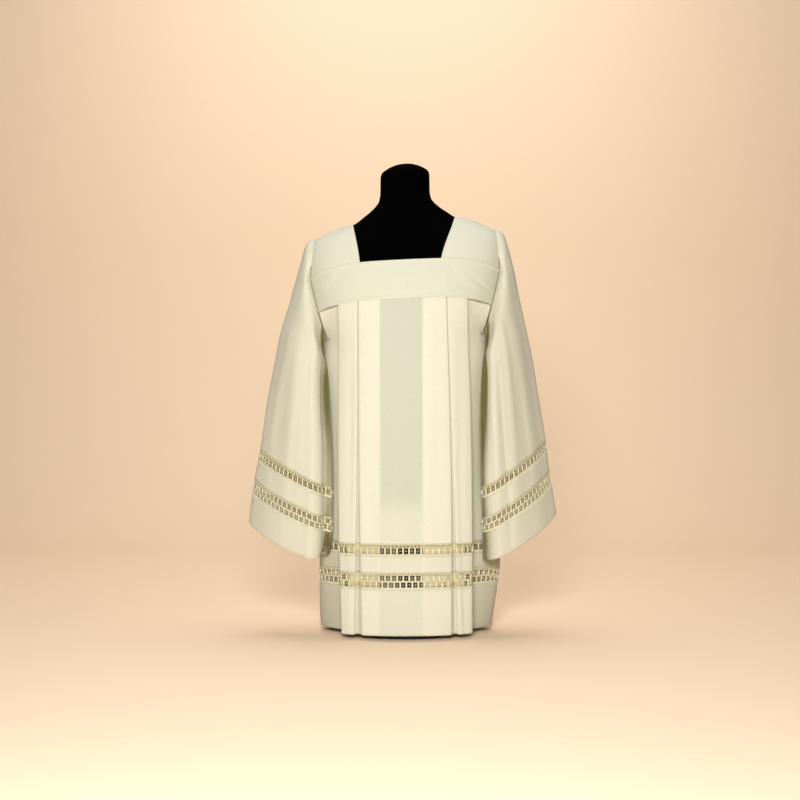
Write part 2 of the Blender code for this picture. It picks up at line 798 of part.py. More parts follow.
def armhole_point(side, turn):
    """The armhole's edge, with turn running from 0 at the top to pi at the underarm."""
    turn %= 2 * math.pi
    behind = turn > math.pi
    share = (2 * math.pi - turn if behind else turn) / math.pi
    if (side, behind) not in ARMHOLE_EDGES:
        points = armhole_edge(side, behind)
        lengths = np.concatenate(([0.0], np.cumsum(np.linalg.norm(np.diff(points, axis=0), axis=1))))
        ARMHOLE_EDGES[(side, behind)] = (points, lengths / lengths[-1])
    points, places = ARMHOLE_EDGES[(side, behind)]
    return np.array([np.interp(share, places, points[:, axis]) for axis in range(3)])


def fold_depth(side, up, turn):
    """How far the long folds press the sleeve in at one place."""
    total = 0.0
    for around, depth, spread, deepest in SLEEVE_FOLDS[side]:
        apart = (turn - math.radians(around) + math.pi) % (2 * math.pi) - math.pi
        along = math.exp(-((up - deepest) / FOLD_REACH) ** 2)
        total += depth * along * math.exp(-(apart / spread) ** 2)
    return total


def sleeve_point(side, up, turn):
    """A point of the sleeve's middle surface; turn 0 is its outer line, pi/2 its front."""
    sign = -1 if side == "left" else 1
    line = SLEEVES[side]
    outer, inner = [
        np.array((sign * line.at(e + "_x", up), SLEEVE_SHAPE.at(e + "_y", up), line.at(e + "_z", up)))
        for e in ("outer", "inner")
    ]
    centre, reach = (outer + inner) / 2, (outer - inner) / 2
    length = np.linalg.norm(reach)
    front = np.array((0.0, -1.0, 0.0))
    front -= reach * (front @ reach) / length ** 2
    front /= np.linalg.norm(front)
    depth = SLEEVE_SHAPE.at("half_depth", up)
    cos, sin = math.cos(turn), math.sin(turn)
    point = centre + reach * cos + front * depth * sin
    outward = reach / length * cos * depth + front * sin * length
    outward /= np.linalg.norm(outward)
    point -= outward * fold_depth(side, up, turn)
    low = 1 - smoothstep(up / CUFF_TILT_REACH)
    point[2] -= SLEEVE_SHAPE.at("droop", up) * abs(sin) + CUFF_TILT * depth * sin * low
    point[2] += CUFF_LIFT[side] * max(-cos, 0.0) ** 10 * (1 - smoothstep(up / CUFF_BAND))
    blend = max((up - ARM_BLEND_START) / (SLEEVE_TOP - ARM_BLEND_START), 0.0) ** 3
    if blend > 0:
        point = point * (1 - blend) + armhole_point(side, turn) * blend
    return point


def sleeve_wall_points(side, up, turn):
    """Outer and inner wall points at one place of a sleeve."""
    high, low = min(up + STEP_UP, SLEEVE_TOP), max(up - STEP_UP, 0.0)
    down = sleeve_point(side, low, turn) - sleeve_point(side, high, turn)
    around = sleeve_point(side, up, turn + STEP_ROUND) - sleeve_point(side, up, turn - STEP_ROUND)
    if side == "right":
        around = -around
    normal = np.cross(down, around)
    normal /= np.linalg.norm(normal)
    middle = sleeve_point(side, up, turn)
    return middle + normal * CLOTH / 2, middle - normal * CLOTH / 2


def sleeve_turns(side):
    way = 1 if side == "left" else -1
    return [way * 2 * math.pi * i / SLEEVE_COLUMNS for i in range(SLEEVE_COLUMNS)]


def build_sleeve_tube(name, side, ups):
    outer, inner = [], []
    for up in ups:
        for turn in sleeve_turns(side):
            high, low = sleeve_wall_points(side, up, turn)
            outer.append(high)
            inner.append(low)
    faces = grid_faces(len(ups), SLEEVE_COLUMNS, closed=True)
    thick_sheet(name, outer, inner, faces, "ivory_cloth")


def build_sleeve_lace(name, side, top, bottom, window_rows, behind):
    """Half a lace band round a sleeve; the halves part at the outer and inner lines."""
    half = SLEEVE_COLUMNS // 2
    parting = SEAM / SLEEVE_RADIUS
    turns = [math.pi * i / half for i in range(half + 1)]
    turns[0] += parting
    turns[-1] -= parting
    if behind:
        turns = [2 * math.pi - t for t in reversed(turns)]
    if side == "right":
        turns = turns[::-1]
    rows = []
    for up in (top - SEAM, bottom + SEAM):
        pairs = [sleeve_wall_points(side, up, turn) for turn in turns]
        rows.append(([p[0] for p in pairs], [p[1] for p in pairs]))
    band = LaceBand(rows[0], rows[1])
    margin = half // 4
    band.build(name, [(margin, half - margin)], window_rows)


def build_sleeve(side):
    build_sleeve_tube("sleeve_" + side, side, SLEEVE_ROWS)
    build_sleeve_tube("sleeve_strip_" + side, side, (STRIP_BAND - SEAM, LOWER_BAND + SEAM))
    build_sleeve_tube("sleeve_cuff_" + side, side, (CUFF_BAND - SEAM, CUFF_BAND / 2, 0.0))
    for part, behind in (("front", False), ("back", True)):
        ends = "_" + side + "_" + part
        build_sleeve_lace("sleeve_lace_upper" + ends, side, UPPER_BAND, STRIP_BAND, SLEEVE_SINGLE, behind)
        build_sleeve_lace("sleeve_lace_lower" + ends, side, LOWER_BAND, CUFF_BAND, SLEEVE_DOUBLE, behind)


def build_body(part, behind):
    build_body_piece("panel_" + part, PANEL_ROWS, behind)
    build_body_lace("lace_upper_" + part, UPPER_LACE_TOP, UPPER_LACE_END, BODY_SINGLE, behind)
    build_body_piece("strip_" + part, (UPPER_LACE_END - SEAM, LOWER_LACE_TOP + SEAM), behind)
    build_body_lace("lace_lower_" + part, LOWER_LACE_TOP, LOWER_LACE_END, BODY_DOUBLE, behind)
    build_body_piece("hem_band_" + part, (LOWER_LACE_END - SEAM, HEM), behind)


def main():
    clear_scene()
    build_form()
    build_stand()
    build_band("yoke_front", FRONT_NECK, 4, 16, False)
    build_band("yoke_back", BACK_NECK, 5, 16, True)
    for side in ("left", "right"):
        build_strap(side)
        build_sleeve(side)
    build_body("front", False)
    build_body("back", True)


main()
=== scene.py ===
"""The looks of a surplice with open-work lace, worn by a black limbless dress form.

Units are metres, Z is up, the front faces -Y and X runs to the viewer's right.
Each cloth piece is a thin shell on its solid's form, made from sections at named
heights. The lace is made of tapes, cords, bars and knots laid on the same form.
"""

import bisect
import math

import bpy
import numpy as np
from bpy.props import FloatProperty, FloatVectorProperty, PointerProperty
from bpy.types import Operator, Panel, PropertyGroup
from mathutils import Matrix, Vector


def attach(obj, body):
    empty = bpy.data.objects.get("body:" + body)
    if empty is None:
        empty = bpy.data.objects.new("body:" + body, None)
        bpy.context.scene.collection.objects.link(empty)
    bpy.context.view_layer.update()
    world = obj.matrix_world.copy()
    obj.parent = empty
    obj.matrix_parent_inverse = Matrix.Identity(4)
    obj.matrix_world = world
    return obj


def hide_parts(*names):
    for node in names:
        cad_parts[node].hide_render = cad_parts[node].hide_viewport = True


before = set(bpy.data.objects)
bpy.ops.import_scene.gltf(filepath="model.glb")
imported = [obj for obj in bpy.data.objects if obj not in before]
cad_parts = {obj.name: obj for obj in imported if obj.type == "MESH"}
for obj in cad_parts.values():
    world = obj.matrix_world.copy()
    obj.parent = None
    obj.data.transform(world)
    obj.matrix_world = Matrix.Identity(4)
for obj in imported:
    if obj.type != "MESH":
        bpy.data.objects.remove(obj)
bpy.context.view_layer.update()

bl_info = {
    "name": "Surplice on a dress form",
    "version": (1, 0, 0),
    "blender": (4, 5, 0),
    "location": "3D View > Sidebar > Surplice",
    "description": "Builds an ivory surplice with lace insertions on a black dress form, and its studio",
    "category": "Object",
}

# Seam heights on the body, as in the frame
FRONT_NECK = 0.842
BACK_NECK = 0.862
YOKE_SEAM = 0.757
UNDERARM = 0.684
UPPER_LACE_TOP = 0.2132
UPPER_LACE_END = 0.1857
LOWER_LACE_TOP = 0.1494
LOWER_LACE_END = 0.1131
HEM = 0.012
SEAM = 0.00015          # each piece stops this far short of its seam line
STRAP_SEAM = 0.0003
SHOULDER_AIR = 0.0011   # air between the shoulder straps and the form
CLOTH = 0.0012          # thickness of the frame's cloth walls
LAP = 0.0004
HEM_GAP = 0.0012        # between a hem and the cloth turned up behind it

# Sleeve bands, as distances up the sleeve from the cuff's hem
CUFF_BAND = 0.066
LOWER_BAND = 0.100
STRIP_BAND = 0.142
UPPER_BAND = 0.168
SLEEVE_TOP = 0.665

# Pleats
LAYER = 0.0036          # from one layer of a pleat to the next
TUCK_SHORT = 0.004      # the hidden tuck ends this far inside the panel's outer fold
EDGE_DROP = 0.002       # the panel's outer fold turns back by this
SIDE_BULGE = 0.45       # how full the cloth is between that fold and the side
ROUND_SIDE_START = 0.66     # from this height down the side is full

# Form and shoulders
FORM_BOTTOM = 0.291
SHOULDER_AXIS = 0.860   # the line that the angles over the shoulder turn round
RAY_LENGTH = 0.2
RAY_HALVINGS = 26
ARMHOLE_GAP = 0.004
SAG_WIDTH = 0.18        # how far out a seam sags by its full drop
SAG_MOST = 1.25         # and beyond which share of that it sags no further
ARM_BLEND_START = 0.50  # from here up a sleeve turns into the armhole's edge
CUFF_TILT = 0.20        # how much lower a cuff's front hangs than its outer line
CUFF_TILT_REACH = 0.34
CUFF_LIFT = {"left": 0.040, "right": 0.006}     # how far a cuff's inner end curls up
CUFF_LIFT_POWER = 10    # the higher, the nearer to the inner line that curl stays

# Lace, in metres down a band from its top edge and along it
PITCH = 0.0133          # one repeat of the large openings
WINDOW = 0.0095         # width of a large opening
END_BAR = 0.0020        # least cloth between the last opening and a stretch's end
WINDOW_SHARE = 0.96     # of its row's height, what an opening takes
SOFT_CORNERS = 0.25     # how round a large opening's corners are
TOP_TAPE = 0.0022       # plain tape along the top edge
HOLES_ABOVE = 0.0008    # the small holes' strip ends this far above the first large row
WINDOW_ROUND = 0.0004   # a large row reaches this far beyond the solids' openings
SMALL_PITCH = 0.0083    # one repeat of the small holes beside a lace
SMALL_HOLE = 0.0046     # a small hole's width at its foot
SMALL_SHARE = 0.62      # of its strip's height, what it takes
TRIANGLE_TOP = 0.14     # its width at the top, as a share of its foot
LACE_THICK = 0.0006
TAPE_STEP = 0.002       # how long each face of a tape is
HIDDEN_STEP = 0.0012    # and of a tape that turns inside a pleat

# Threads across an opening, the knot where they meet and the bars between openings
THREAD = 0.00028        # radius of a thread in the plain stretch
CLOSE_THREAD = 0.000364     # and beyond it
THREAD_LAP = 0.0004     # how far threads run into the bars
THREAD_REACH = 0.48     # half an upright thread's length, as a share of its row's height
KNOT = (0.0011, 0.0013, 0.0008)     # half its width, height and thickness
BAR_HALF_WIDTH = 0.0019
BAR_HALF_THICK = 0.0015
BAR_REACH = 0.47        # half a bar's height, as a share of its row's
BAR_OUT = 0.0003
BAR_TAPERS = {1: (0.0,), 2: (0.45, -0.1)}   # how much wider a bar is at its foot, row by row

# Raised cords along a lace's edges, and stitches
CORD = 0.000525         # radius of a cord
LOWEST_CORD = 0.000875  # the one along the lower edge is thicker
CORD_IN = 0.0008        # from a band's edge to its cord
SECOND_CORD_IN = 0.0030
CORD_OFF = 0.0006       # from a row of large openings to its cord
CORD_OUT = 0.6          # how far cords stand out, against the lace's thickness
CORD_STEP = 0.0025
STITCH = 0.0022         # a stitch's length
STITCH_GAP = 0.0012
STITCH_OUT = 0.0006     # how far its middle stands out
STITCH_RADIUS = 0.00022

# The lace's painted shade, from 0 for a pale cord or bar to 1 for a hidden layer
BAR_SHADE = 0.15        # painted shade on knots, and on bars beyond the plain stretch
THREAD_SHADE = 0.35
CLOSE_WORK = 0.5
HIDDEN_WORK = 1.0

# Rows of large openings, each from and to a share of its band's height
BODY_SINGLE = ((0.32, 0.80),)
BODY_DOUBLE = ((0.14, 0.44), (0.56, 0.86))
SLEEVE_SINGLE = ((0.30, 0.76),)
SLEEVE_DOUBLE = ((0.15, 0.44), (0.56, 0.85))

# Yoke
YOKE_LAP = 0.0016       # the yoke's bands lap over the panels and straps by this
YOKE_RIDGE = 0.0012     # and stand out along their seams by this
YOKE_SHOWN = 0.45       # how much the dark form greys the yoke

# How finely each shown piece is divided
SLEEVE_COLUMNS = 128
YOKE_COLUMNS = 97
STRAP_COLUMNS_SHOWN = 33
STRAP_ROWS_SHOWN = 61
FORM_COLUMNS = 96
STAND_SIDES = 96
ROW = 0.004
PANEL_ROW = 0.0075
SLEEVE_ROW = 0.005
HEM_ROW = 0.006
EDGE_ROW = 0.0012       # finer rows beside an edge, and how many
EDGE_ROWS = 5
# Rows of a panel just above the underarm, where the armhole bends most
PANEL_NEAR_ARMHOLE = (0.7000, 0.6965, 0.6935, 0.6910, 0.6890, 0.6875, 0.6862, 0.6852, 0.6845, 0.6841)

# Hems and stitches, as distances from an edge
HEM_TURN = 0.011
CUFF_TURN = 0.010
HEM_ROOM = 0.0006       # what the turned edge takes below its last row
YOKE_STITCHES = {"top": 0.0052, "bottom": 0.0042}
YOKE_MARGIN = 0.004
HEM_STITCHES = 0.0045
HEM_MARGIN = 0.01
TOP_RIDGE = 0.0042      # how far from its edge a yoke band's ridge reaches
BOTTOM_RIDGE = 0.0036
ARMHOLE_SINK = 0.0012   # a sleeve's head sinks into the armhole's seam
ARMHOLE_SINK_REACH = 0.0015

# From where to where, beside the middle line, the body's lace is plain
PLAIN_LACE = (-0.050, 0.056)

# The studio
CAMERA_PLACE = (-0.0115, -3.0, 0.530)
FLOOR_HALF = 6.0
SWEEP_START = 1.6
SWEEP = 1.2
SWEEP_STEPS = 12
BACKDROP_TOP = 6.0
AIR_COLOUR = (1.0, 0.96, 0.62)

# Lights: name, place, what it points at, width and colour
LIGHTS = (
    ("key", (-0.14, -2.9, 1.25), (0.0, 0.0, 0.60), 0.8, (0.99, 1.0, 1.0)),
    ("fill", (0.5, -2.9, 0.35), (0.0, 0.0, 0.5), 1.6, (1.0, 0.93, 0.55)),
    ("paper", (0.0, 0.7, 3.2), (0.0, 2.3, 0.5), 2.6, (1.0, 0.99, 0.97)),
)


class Table:
    """Rows of sizes under named columns, read smoothly along the first column."""

    def __init__(self, columns, rows):
        self.keys = [float(row[0]) for row in rows]
        self.columns = {name: [float(row[i]) for row in rows] for i, name in enumerate(columns)}
        self.slopes = {name: self.even_slopes(col) for name, col in self.columns.items()}

    def even_slopes(self, values):
        keys = self.keys
        steps = [(values[i + 1] - values[i]) / (keys[i + 1] - keys[i]) for i in range(len(keys) - 1)]
        slopes = [steps[0]]
        for before, after in zip(steps, steps[1:]):
            slopes.append(2 * before * after / (before + after) if before * after > 0 else 0.0)
        return slopes + [steps[-1]]

    def at(self, name, key):
        keys, values, slopes = self.keys, self.columns[name], self.slopes[name]
        key = min(max(key, keys[0]), keys[-1])
        i = min(bisect.bisect_right(keys, key) - 1, len(keys) - 2)
        width = keys[i + 1] - keys[i]
        t = (key - keys[i]) / width
        rise = (2 * t ** 3 - 3 * t ** 2 + 1) * values[i] + (3 * t ** 2 - 2 * t ** 3) * values[i + 1]
        bend = (t ** 3 - 2 * t ** 2 + t) * slopes[i] + (t ** 3 - t ** 2) * slopes[i + 1]
        return rise + bend * width


# The form: its horizontal sections from the torso's lower end to the neck's cap
FORM = Table(
    ("height", "half_width", "half_depth", "fullness"),
    (
        (0.291, 0.148, 0.104, 2.4),
        (0.400, 0.148, 0.107, 2.4),
        (0.500, 0.143, 0.101, 2.4),
        (0.600, 0.143, 0.095, 2.4),
        (0.700, 0.166, 0.100, 2.4),
        (0.757, 0.186, 0.1025, 2.4),
        (0.800, 0.206, 0.102, 2.4),
        (0.842, 0.219, 0.096, 2.4),
        (0.865, 0.2225, 0.089, 2.4),
        (0.885, 0.2215, 0.082, 2.35),
        (0.903, 0.213, 0.074, 2.3),
        (0.9135, 0.195, 0.0685, 2.2),
        (0.9325, 0.150, 0.0625, 2.1),
        (0.942, 0.118, 0.0605, 2.0),
        (0.958, 0.0945, 0.058, 2.0),
        (0.967, 0.082, 0.057, 2.0),
        (0.980, 0.068, 0.0555, 2.0),
        (0.9916, 0.060, 0.0545, 2.0),
        (1.010, 0.0570, 0.0530, 2.0),
        (1.046, 0.0565, 0.0525, 2.0),
    ),
)
FORM_CAP_TOP = 1.0747
FORM_CAP = Table(("height", "half_width", "half_depth"), (
    (1.046, 0.0565, 0.0525), (1.054, 0.0540, 0.0500), (1.0645, 0.0400, 0.0370), (1.072, 0.0210, 0.0195),
    (FORM_CAP_TOP, 0.004, 0.004),
))

# The torso's rows: where a stretch starts and ends and how many it has; the cap's come last
FORM_ROWS = ((FORM_BOTTOM, 0.860, 48), (0.866, 1.046, 46))
FORM_CAP_ROWS = (1.048, 1.0743, 14)

# The stand's outline as distances from the middle and heights: the round base, its edges
# rounded, then the pole with the weld at its foot
STAND_PROFILE = (
    (0.1225, 0.0), (0.1243, 0.0007), (0.125, 0.0025), (0.125, 0.0055), (0.1243, 0.0073), (0.1225, 0.008),
    (0.0145, 0.008), (0.0129, 0.0086), (0.0125, 0.0105), (0.0125, 0.2907),
)

# The body's cloth: the curve that its front and back follow
BODY = Table(
    ("height", "half_width", "half_depth", "fullness"),
    (
        (0.012, 0.200, 0.150, 2.4),
        (0.113, 0.200, 0.148, 2.4),
        (0.170, 0.198, 0.146, 2.4),
        (0.220, 0.196, 0.1445, 2.4),
        (0.300, 0.192, 0.142, 2.4),
        (0.450, 0.186, 0.136, 2.3),
        (0.600, 0.182, 0.1295, 2.3),
        (0.684, 0.181, 0.1235, 2.2),
        (0.720, 0.192, 0.120, 2.2),
        (0.757, 0.205, 0.1165, 2.2),
        (0.800, 0.213, 0.109, 2.3),
        (0.842, 0.2208, 0.0979, 2.4),
        (0.865, 0.2243, 0.0910, 2.4),
    ),
)

# How far the body's sides reach, up to the underarms; beside the sleeves a little
# further than the solids, so that no backdrop shows between
SIDES = Table(
    ("height", "left", "right"),
    (
        (0.012, 0.1930, 0.1990),
        (0.045, 0.1960, 0.2043),
        (0.100, 0.1965, 0.2124),
        (0.160, 0.1965, 0.2190),
        (0.200, 0.1930, 0.2120),
        (0.250, 0.1840, 0.1960),
        (0.300, 0.1780, 0.1860),
        (0.380, 0.1750, 0.1790),
        (0.450, 0.1740, 0.1775),
        (0.520, 0.1765, 0.1785),
        (0.570, 0.1810, 0.1820),
        (0.610, 0.1850, 0.1860),
        (0.640, 0.1865, 0.1870),
        (0.665, 0.1845, 0.1845),
        (0.684, 0.1810, 0.1810),
    ),
)

# Where each panel is cut away for the armhole, as a distance from the side line
ARMHOLE = Table(
    ("height", "reach"),
    (
        (0.684, 0.0),
        (0.688, 0.010),
        (0.700, 0.020),
        (0.720, 0.028),
        (0.757, 0.036),
        (0.800, 0.0300),
        (0.842, 0.0240),
        (0.862, 0.0220),
    ),
)

# Inverted pleats: the line where two folds meet, the panel's outer fold, the
# inner fold of the underlay and how far the line stands open
PLEAT_COLUMNS = ("height", "line", "edge", "underlay", "opening")
PLEATS = {
    "front_left": Table(PLEAT_COLUMNS, (
        (0.012, 0.1045, 0.142, 0.0557, 0.0170),
        (0.250, 0.1046, 0.149, 0.0557, 0.0090),
        (0.450, 0.1050, 0.1510, 0.0557, 0.0045),
        (0.757, 0.1056, 0.1515, 0.0557, 0.0018),
    )),
    "front_right": Table(PLEAT_COLUMNS, (
        (0.012, 0.1095, 0.150, 0.0385, 0.0150),
        (0.250, 0.1068, 0.1505, 0.0385, 0.0080),
        (0.450, 0.1024, 0.149, 0.0385, 0.0045),
        (0.757, 0.0926, 0.1405, 0.0385, 0.0018),
    )),
    "back": Table(PLEAT_COLUMNS, (
        (0.012, 0.1050, 0.147, 0.0480, 0.010),
        (0.250, 0.1030, 0.149, 0.0480, 0.004),
        (0.450, 0.1020, 0.149, 0.0480, 0.002),
        (0.757, 0.0990, 0.147, 0.0480, 0.0015),
    )),
}

# How far the cloth steps in and back behind the panel's outer fold
RECESS = Table(
    ("height", "inward", "back"),
    (
        (0.012, 0.014, 0.045),
        (0.200, 0.014, 0.040),
        (0.400, 0.012, 0.028),
        (0.600, 0.008, 0.014),
        (0.700, 0.004, 0.006),
        (0.757, 0.002, 0.004),
    ),
)

# Behind a pleat's open line the hidden layer stands further back
VALLEY = Table(("height", "depth"), ((0.012, 0.0090), (0.200, 0.0070), (0.400, 0.0030), (0.757, 0.0)))

# The neckline's and the strap's edges, by the angle over the shoulder
STRAP_COLUMNS = ("angle", "left_neck", "right_neck", "armhole")
STRAP = Table(STRAP_COLUMNS, (
    (0.0, 0.1010, 0.0800, 0.2155),
    (90.0, 0.1190, 0.1150, 0.2060),
    (180.0, 0.1060, 0.1060, 0.2190),
))

# Sleeves: outer and inner lines up from the cuff, for the left and right arm
SLEEVE_LINE = ("up", "outer_x", "outer_z", "inner_x", "inner_z")
SLEEVES = {
    "left": Table(SLEEVE_LINE, (
        (0.000, 0.3592, 0.2530, 0.1700, 0.1680),
        (0.090, 0.3480, 0.3420, 0.1655, 0.2560),
        (0.166, 0.3338, 0.4166, 0.1655, 0.3320),
        (0.280, 0.3177, 0.5300, 0.1670, 0.4300),
        (0.340, 0.3069, 0.5877, 0.1700, 0.4800),
        (0.445, 0.2860, 0.6916, 0.1745, 0.5700),
        (0.520, 0.2645, 0.7630, 0.1770, 0.6050),
        (0.605, 0.2475, 0.8430, 0.1865, 0.6400),
        (0.640, 0.2450, 0.8900, 0.1840, 0.6560),
        (0.665, 0.2100, 0.9100, 0.1820, 0.6680),
    )),
    "right": Table(SLEEVE_LINE, (
        (0.000, 0.3485, 0.2738, 0.1760, 0.1690),
        (0.090, 0.3340, 0.3625, 0.1755, 0.2570),
        (0.166, 0.3245, 0.4380, 0.1735, 0.3330),
        (0.280, 0.3070, 0.5510, 0.1720, 0.4350),
        (0.340, 0.2980, 0.6100, 0.1720, 0.4850),
        (0.445, 0.2770, 0.7130, 0.1750, 0.5800),
        (0.520, 0.2610, 0.7860, 0.1775, 0.6180),
        (0.605, 0.2500, 0.8620, 0.1855, 0.6540),
        (0.640, 0.2460, 0.9100, 0.1850, 0.6690),
        (0.665, 0.2100, 0.9300, 0.1820, 0.6810),
    )),
}
SLEEVE_SHAPE = Table(
    ("up", "outer_y", "inner_y", "half_depth", "droop"),
    (
        (0.000, 0.002, -0.084, 0.047, 0.007),
        (0.070, 0.003, -0.083, 0.048, 0.003),
        (0.166, 0.004, -0.080, 0.049, 0.001),
        (0.340, 0.011, -0.058, 0.054, 0.0),
        (0.445, 0.011, -0.040, 0.057, 0.0),
        (0.520, 0.008, -0.030, 0.057, 0.0),
        (0.605, 0.002, -0.014, 0.056, 0.0),
        (0.665, 0.000, 0.000, 0.056, 0.0),
    ),
)

# The whole figure leans: its right shoulder stands higher, and seams sag sideways
LEAN = Table(("height", "slope"), (
    (0.012, 0.0), (0.250, 0.0), (0.757, 0.042), (0.900, 0.050), (0.945, 0.072), (1.075, 0.055),
))
SAG = Table(("height", "drop"), (
    (0.550, 0.0), (0.757, 0.012), (0.842, 0.012), (0.885, 0.0),
))

# Soft creases on the body, besides its pleats: place across, height of the middle,
# half length, depth (a ridge where it is below zero) and spread
BODY_CREASES = {
    "front": (
        (-0.075, 0.30, 0.26, 0.0016, 0.012),
        (-0.020, 0.16, 0.15, -0.0016, 0.026),
        (0.034, 0.22, 0.20, 0.0017, 0.018),
        (0.072, 0.40, 0.22, 0.0012, 0.011),
        (-0.122, 0.46, 0.20, 0.0016, 0.009),
        (-0.116, 0.10, 0.12, -0.0014, 0.010),
        (0.124, 0.38, 0.24, 0.0015, 0.009),
        (0.131, 0.09, 0.11, 0.0014, 0.008),
    ),
    "back": (
        (-0.066, 0.36, 0.24, 0.0018, 0.013),
        (-0.012, 0.22, 0.20, -0.0015, 0.024),
        (0.047, 0.18, 0.18, 0.0017, 0.016),
        (0.080, 0.48, 0.18, 0.0012, 0.012),
        (-0.126, 0.32, 0.22, 0.0015, 0.010),
        (0.121, 0.50, 0.20, 0.0016, 0.009),
        (0.128, 0.14, 0.14, -0.0014, 0.009),
    ),
}

# Folds and creases on the sleeves: turn in degrees (0 at the outer line, 90 in front, 180 at
# the inner line), distance up, reach, depth (a ridge if below zero) and spread in radians
SLEEVE_CREASES = {
    "left": (
        (120.0, 0.34, 0.20, 0.0020, 0.19),
        (75.0, 0.26, 0.20, 0.0050, 0.24),
        (225.0, 0.30, 0.20, 0.0070, 0.20),
        (270.0, 0.36, 0.20, 0.0080, 0.20),
        (42.0, 0.34, 0.44, 0.0100, 0.50),
        (162.0, 0.08, 0.26, 0.0150, 0.24),
        (130.0, 0.06, 0.28, -0.0050, 0.18),
        (162.0, 0.42, 0.14, 0.0190, 0.25),
        (126.0, 0.45, 0.16, -0.0060, 0.17),
        (112.0, 0.565, 0.06, -0.0045, 0.13),
        (142.0, 0.585, 0.050, 0.0190, 0.24),
        (64.0, 0.22, 0.12, 0.0022, 0.18),
        (101.0, 0.20, 0.18, 0.0018, 0.11),
        (248.0, 0.38, 0.17, 0.0034, 0.12),
        (300.0, 0.22, 0.16, 0.0032, 0.14),
        (205.0, 0.46, 0.12, -0.0024, 0.13),
    ),
    "right": (
        (120.0, 0.30, 0.20, 0.0060, 0.12),
        (90.0, 0.26, 0.20, 0.0030, 0.19),
        (225.0, 0.32, 0.20, 0.0075, 0.20),
        (285.0, 0.28, 0.20, 0.0070, 0.20),
        (42.0, 0.34, 0.44, 0.0115, 0.52),
        (166.0, 0.42, 0.15, 0.0190, 0.20),
        (116.0, 0.24, 0.24, 0.0040, 0.08),
        (137.0, 0.26, 0.32, -0.0045, 0.14),
        (101.0, 0.38, 0.20, -0.0030, 0.12),
        (144.0, 0.585, 0.050, 0.0190, 0.24),
        (118.0, 0.565, 0.06, -0.0045, 0.13),
        (80.0, 0.24, 0.12, 0.0020, 0.12),
        (236.0, 0.34, 0.16, 0.0034, 0.12),
        (310.0, 0.30, 0.18, 0.0030, 0.14),
        (262.0, 0.46, 0.12, -0.0022, 0.13),
    ),
}

# Painted shade on the sleeves, where they lie in the dark beside the body, at the underarm and inside
# the cuff, and faintly over much of the right sleeve's front: turn in degrees, distance up, reach, share of the
# deep colour and spread in radians
SLEEVE_SHADE_PATCHES = {
    "left": (
        (177.0, 0.44, 0.17, 0.78, 0.27),
        (174.0, 0.16, 0.26, 0.50, 0.25),
        (160.0, 0.590, 0.055, 0.90, 0.20),
        (150.0, 0.632, 0.034, 0.75, 0.13),
        (172.0, 0.00, 0.090, 0.70, 0.22),
        (205.0, 0.00, 0.080, 0.85, 0.30),
    ),
    "right": (
        (174.0, 0.43, 0.17, 0.95, 0.25),
        (176.0, 0.20, 0.26, 0.60, 0.19),
        (160.0, 0.590, 0.055, 0.90, 0.20),
        (150.0, 0.632, 0.034, 0.75, 0.13),
        (96.0, 0.30, 0.42, 0.15, 0.50),
        (166.0, 0.02, 0.10, 0.55, 0.28),
    ),
}
SLEEVE_SHADE_ALL_OVER = 0.10      # painted shade over the whole sleeve, for one layer of cloth that is unlit inside

# Soft drags in the yoke: place across, slant, height, half length, depth and spread
YOKE_CREASES = {
    "front": (
        (-0.150, 0.9, 0.806, 0.030, 0.0016, 0.010),
        (-0.085, 0.5, 0.790, 0.035, 0.0009, 0.014),
        (0.020, -0.3, 0.800, 0.040, -0.0007, 0.030),
        (0.118, -0.8, 0.808, 0.030, 0.0014, 0.010),
        (0.165, -1.1, 0.795, 0.026, 0.0015, 0.008),
    ),
    "back": (
        (-0.130, -0.8, 0.810, 0.032, 0.0014, 0.011),
        (-0.030, 0.4, 0.800, 0.040, -0.0008, 0.026),
        (0.070, -0.5, 0.795, 0.036, 0.0010, 0.016),
        (0.145, 0.9, 0.812, 0.030, 0.0015, 0.010),
    ),
}


def leaned(points):
    """Points of the level, even figure moved to where the figure really holds them."""
    points = np.array(points, dtype=float)
    flat = points.reshape(-1, 3)
    slopes = {z: (LEAN.at("slope", z), SAG.at("drop", z)) for z in set(flat[:, 2].tolist())}
    pairs = np.array([slopes[z] for z in flat[:, 2].tolist()])
    reach = np.minimum(np.abs(flat[:, 0]) / SAG_WIDTH, SAG_MOST) ** 4
    flat[:, 2] += flat[:, 0] * pairs[:, 0] - pairs[:, 1] * reach
    return points


def smoothstep(t):
    t = np.clip(t, 0.0, 1.0)
    return t * t * (3 - 2 * t)


def running(steps):
    """How far each point of a line has come, from the lengths of its steps."""
    return np.concatenate(([0.0], np.cumsum(steps)))


# Meshes

def grid_faces(rows, columns, closed=False):
    """Quads of a grid whose rows run down and whose columns run to the right."""
    r, c = np.meshgrid(np.arange(rows - 1), np.arange(columns if closed else columns - 1), indexing="ij")
    d = (c + 1) % columns
    corners = (r * columns + c, (r + 1) * columns + c, (r + 1) * columns + d, r * columns + d)
    return np.stack(corners, axis=-1).reshape(-1, 4).tolist()


def grid_normals(grid, closed=False):
    """Outward normals of a grid of points."""
    down = np.gradient(grid, axis=0)
    if closed:
        wide = np.concatenate((grid[:, -1:], grid, grid[:, :1]), axis=1)
        across = np.gradient(wide, axis=1)[:, 1:-1]
    else:
        across = np.gradient(grid, axis=1)
    normals = np.cross(down, across)
    return normals / np.maximum(np.linalg.norm(normals, axis=2, keepdims=True), 1e-12)


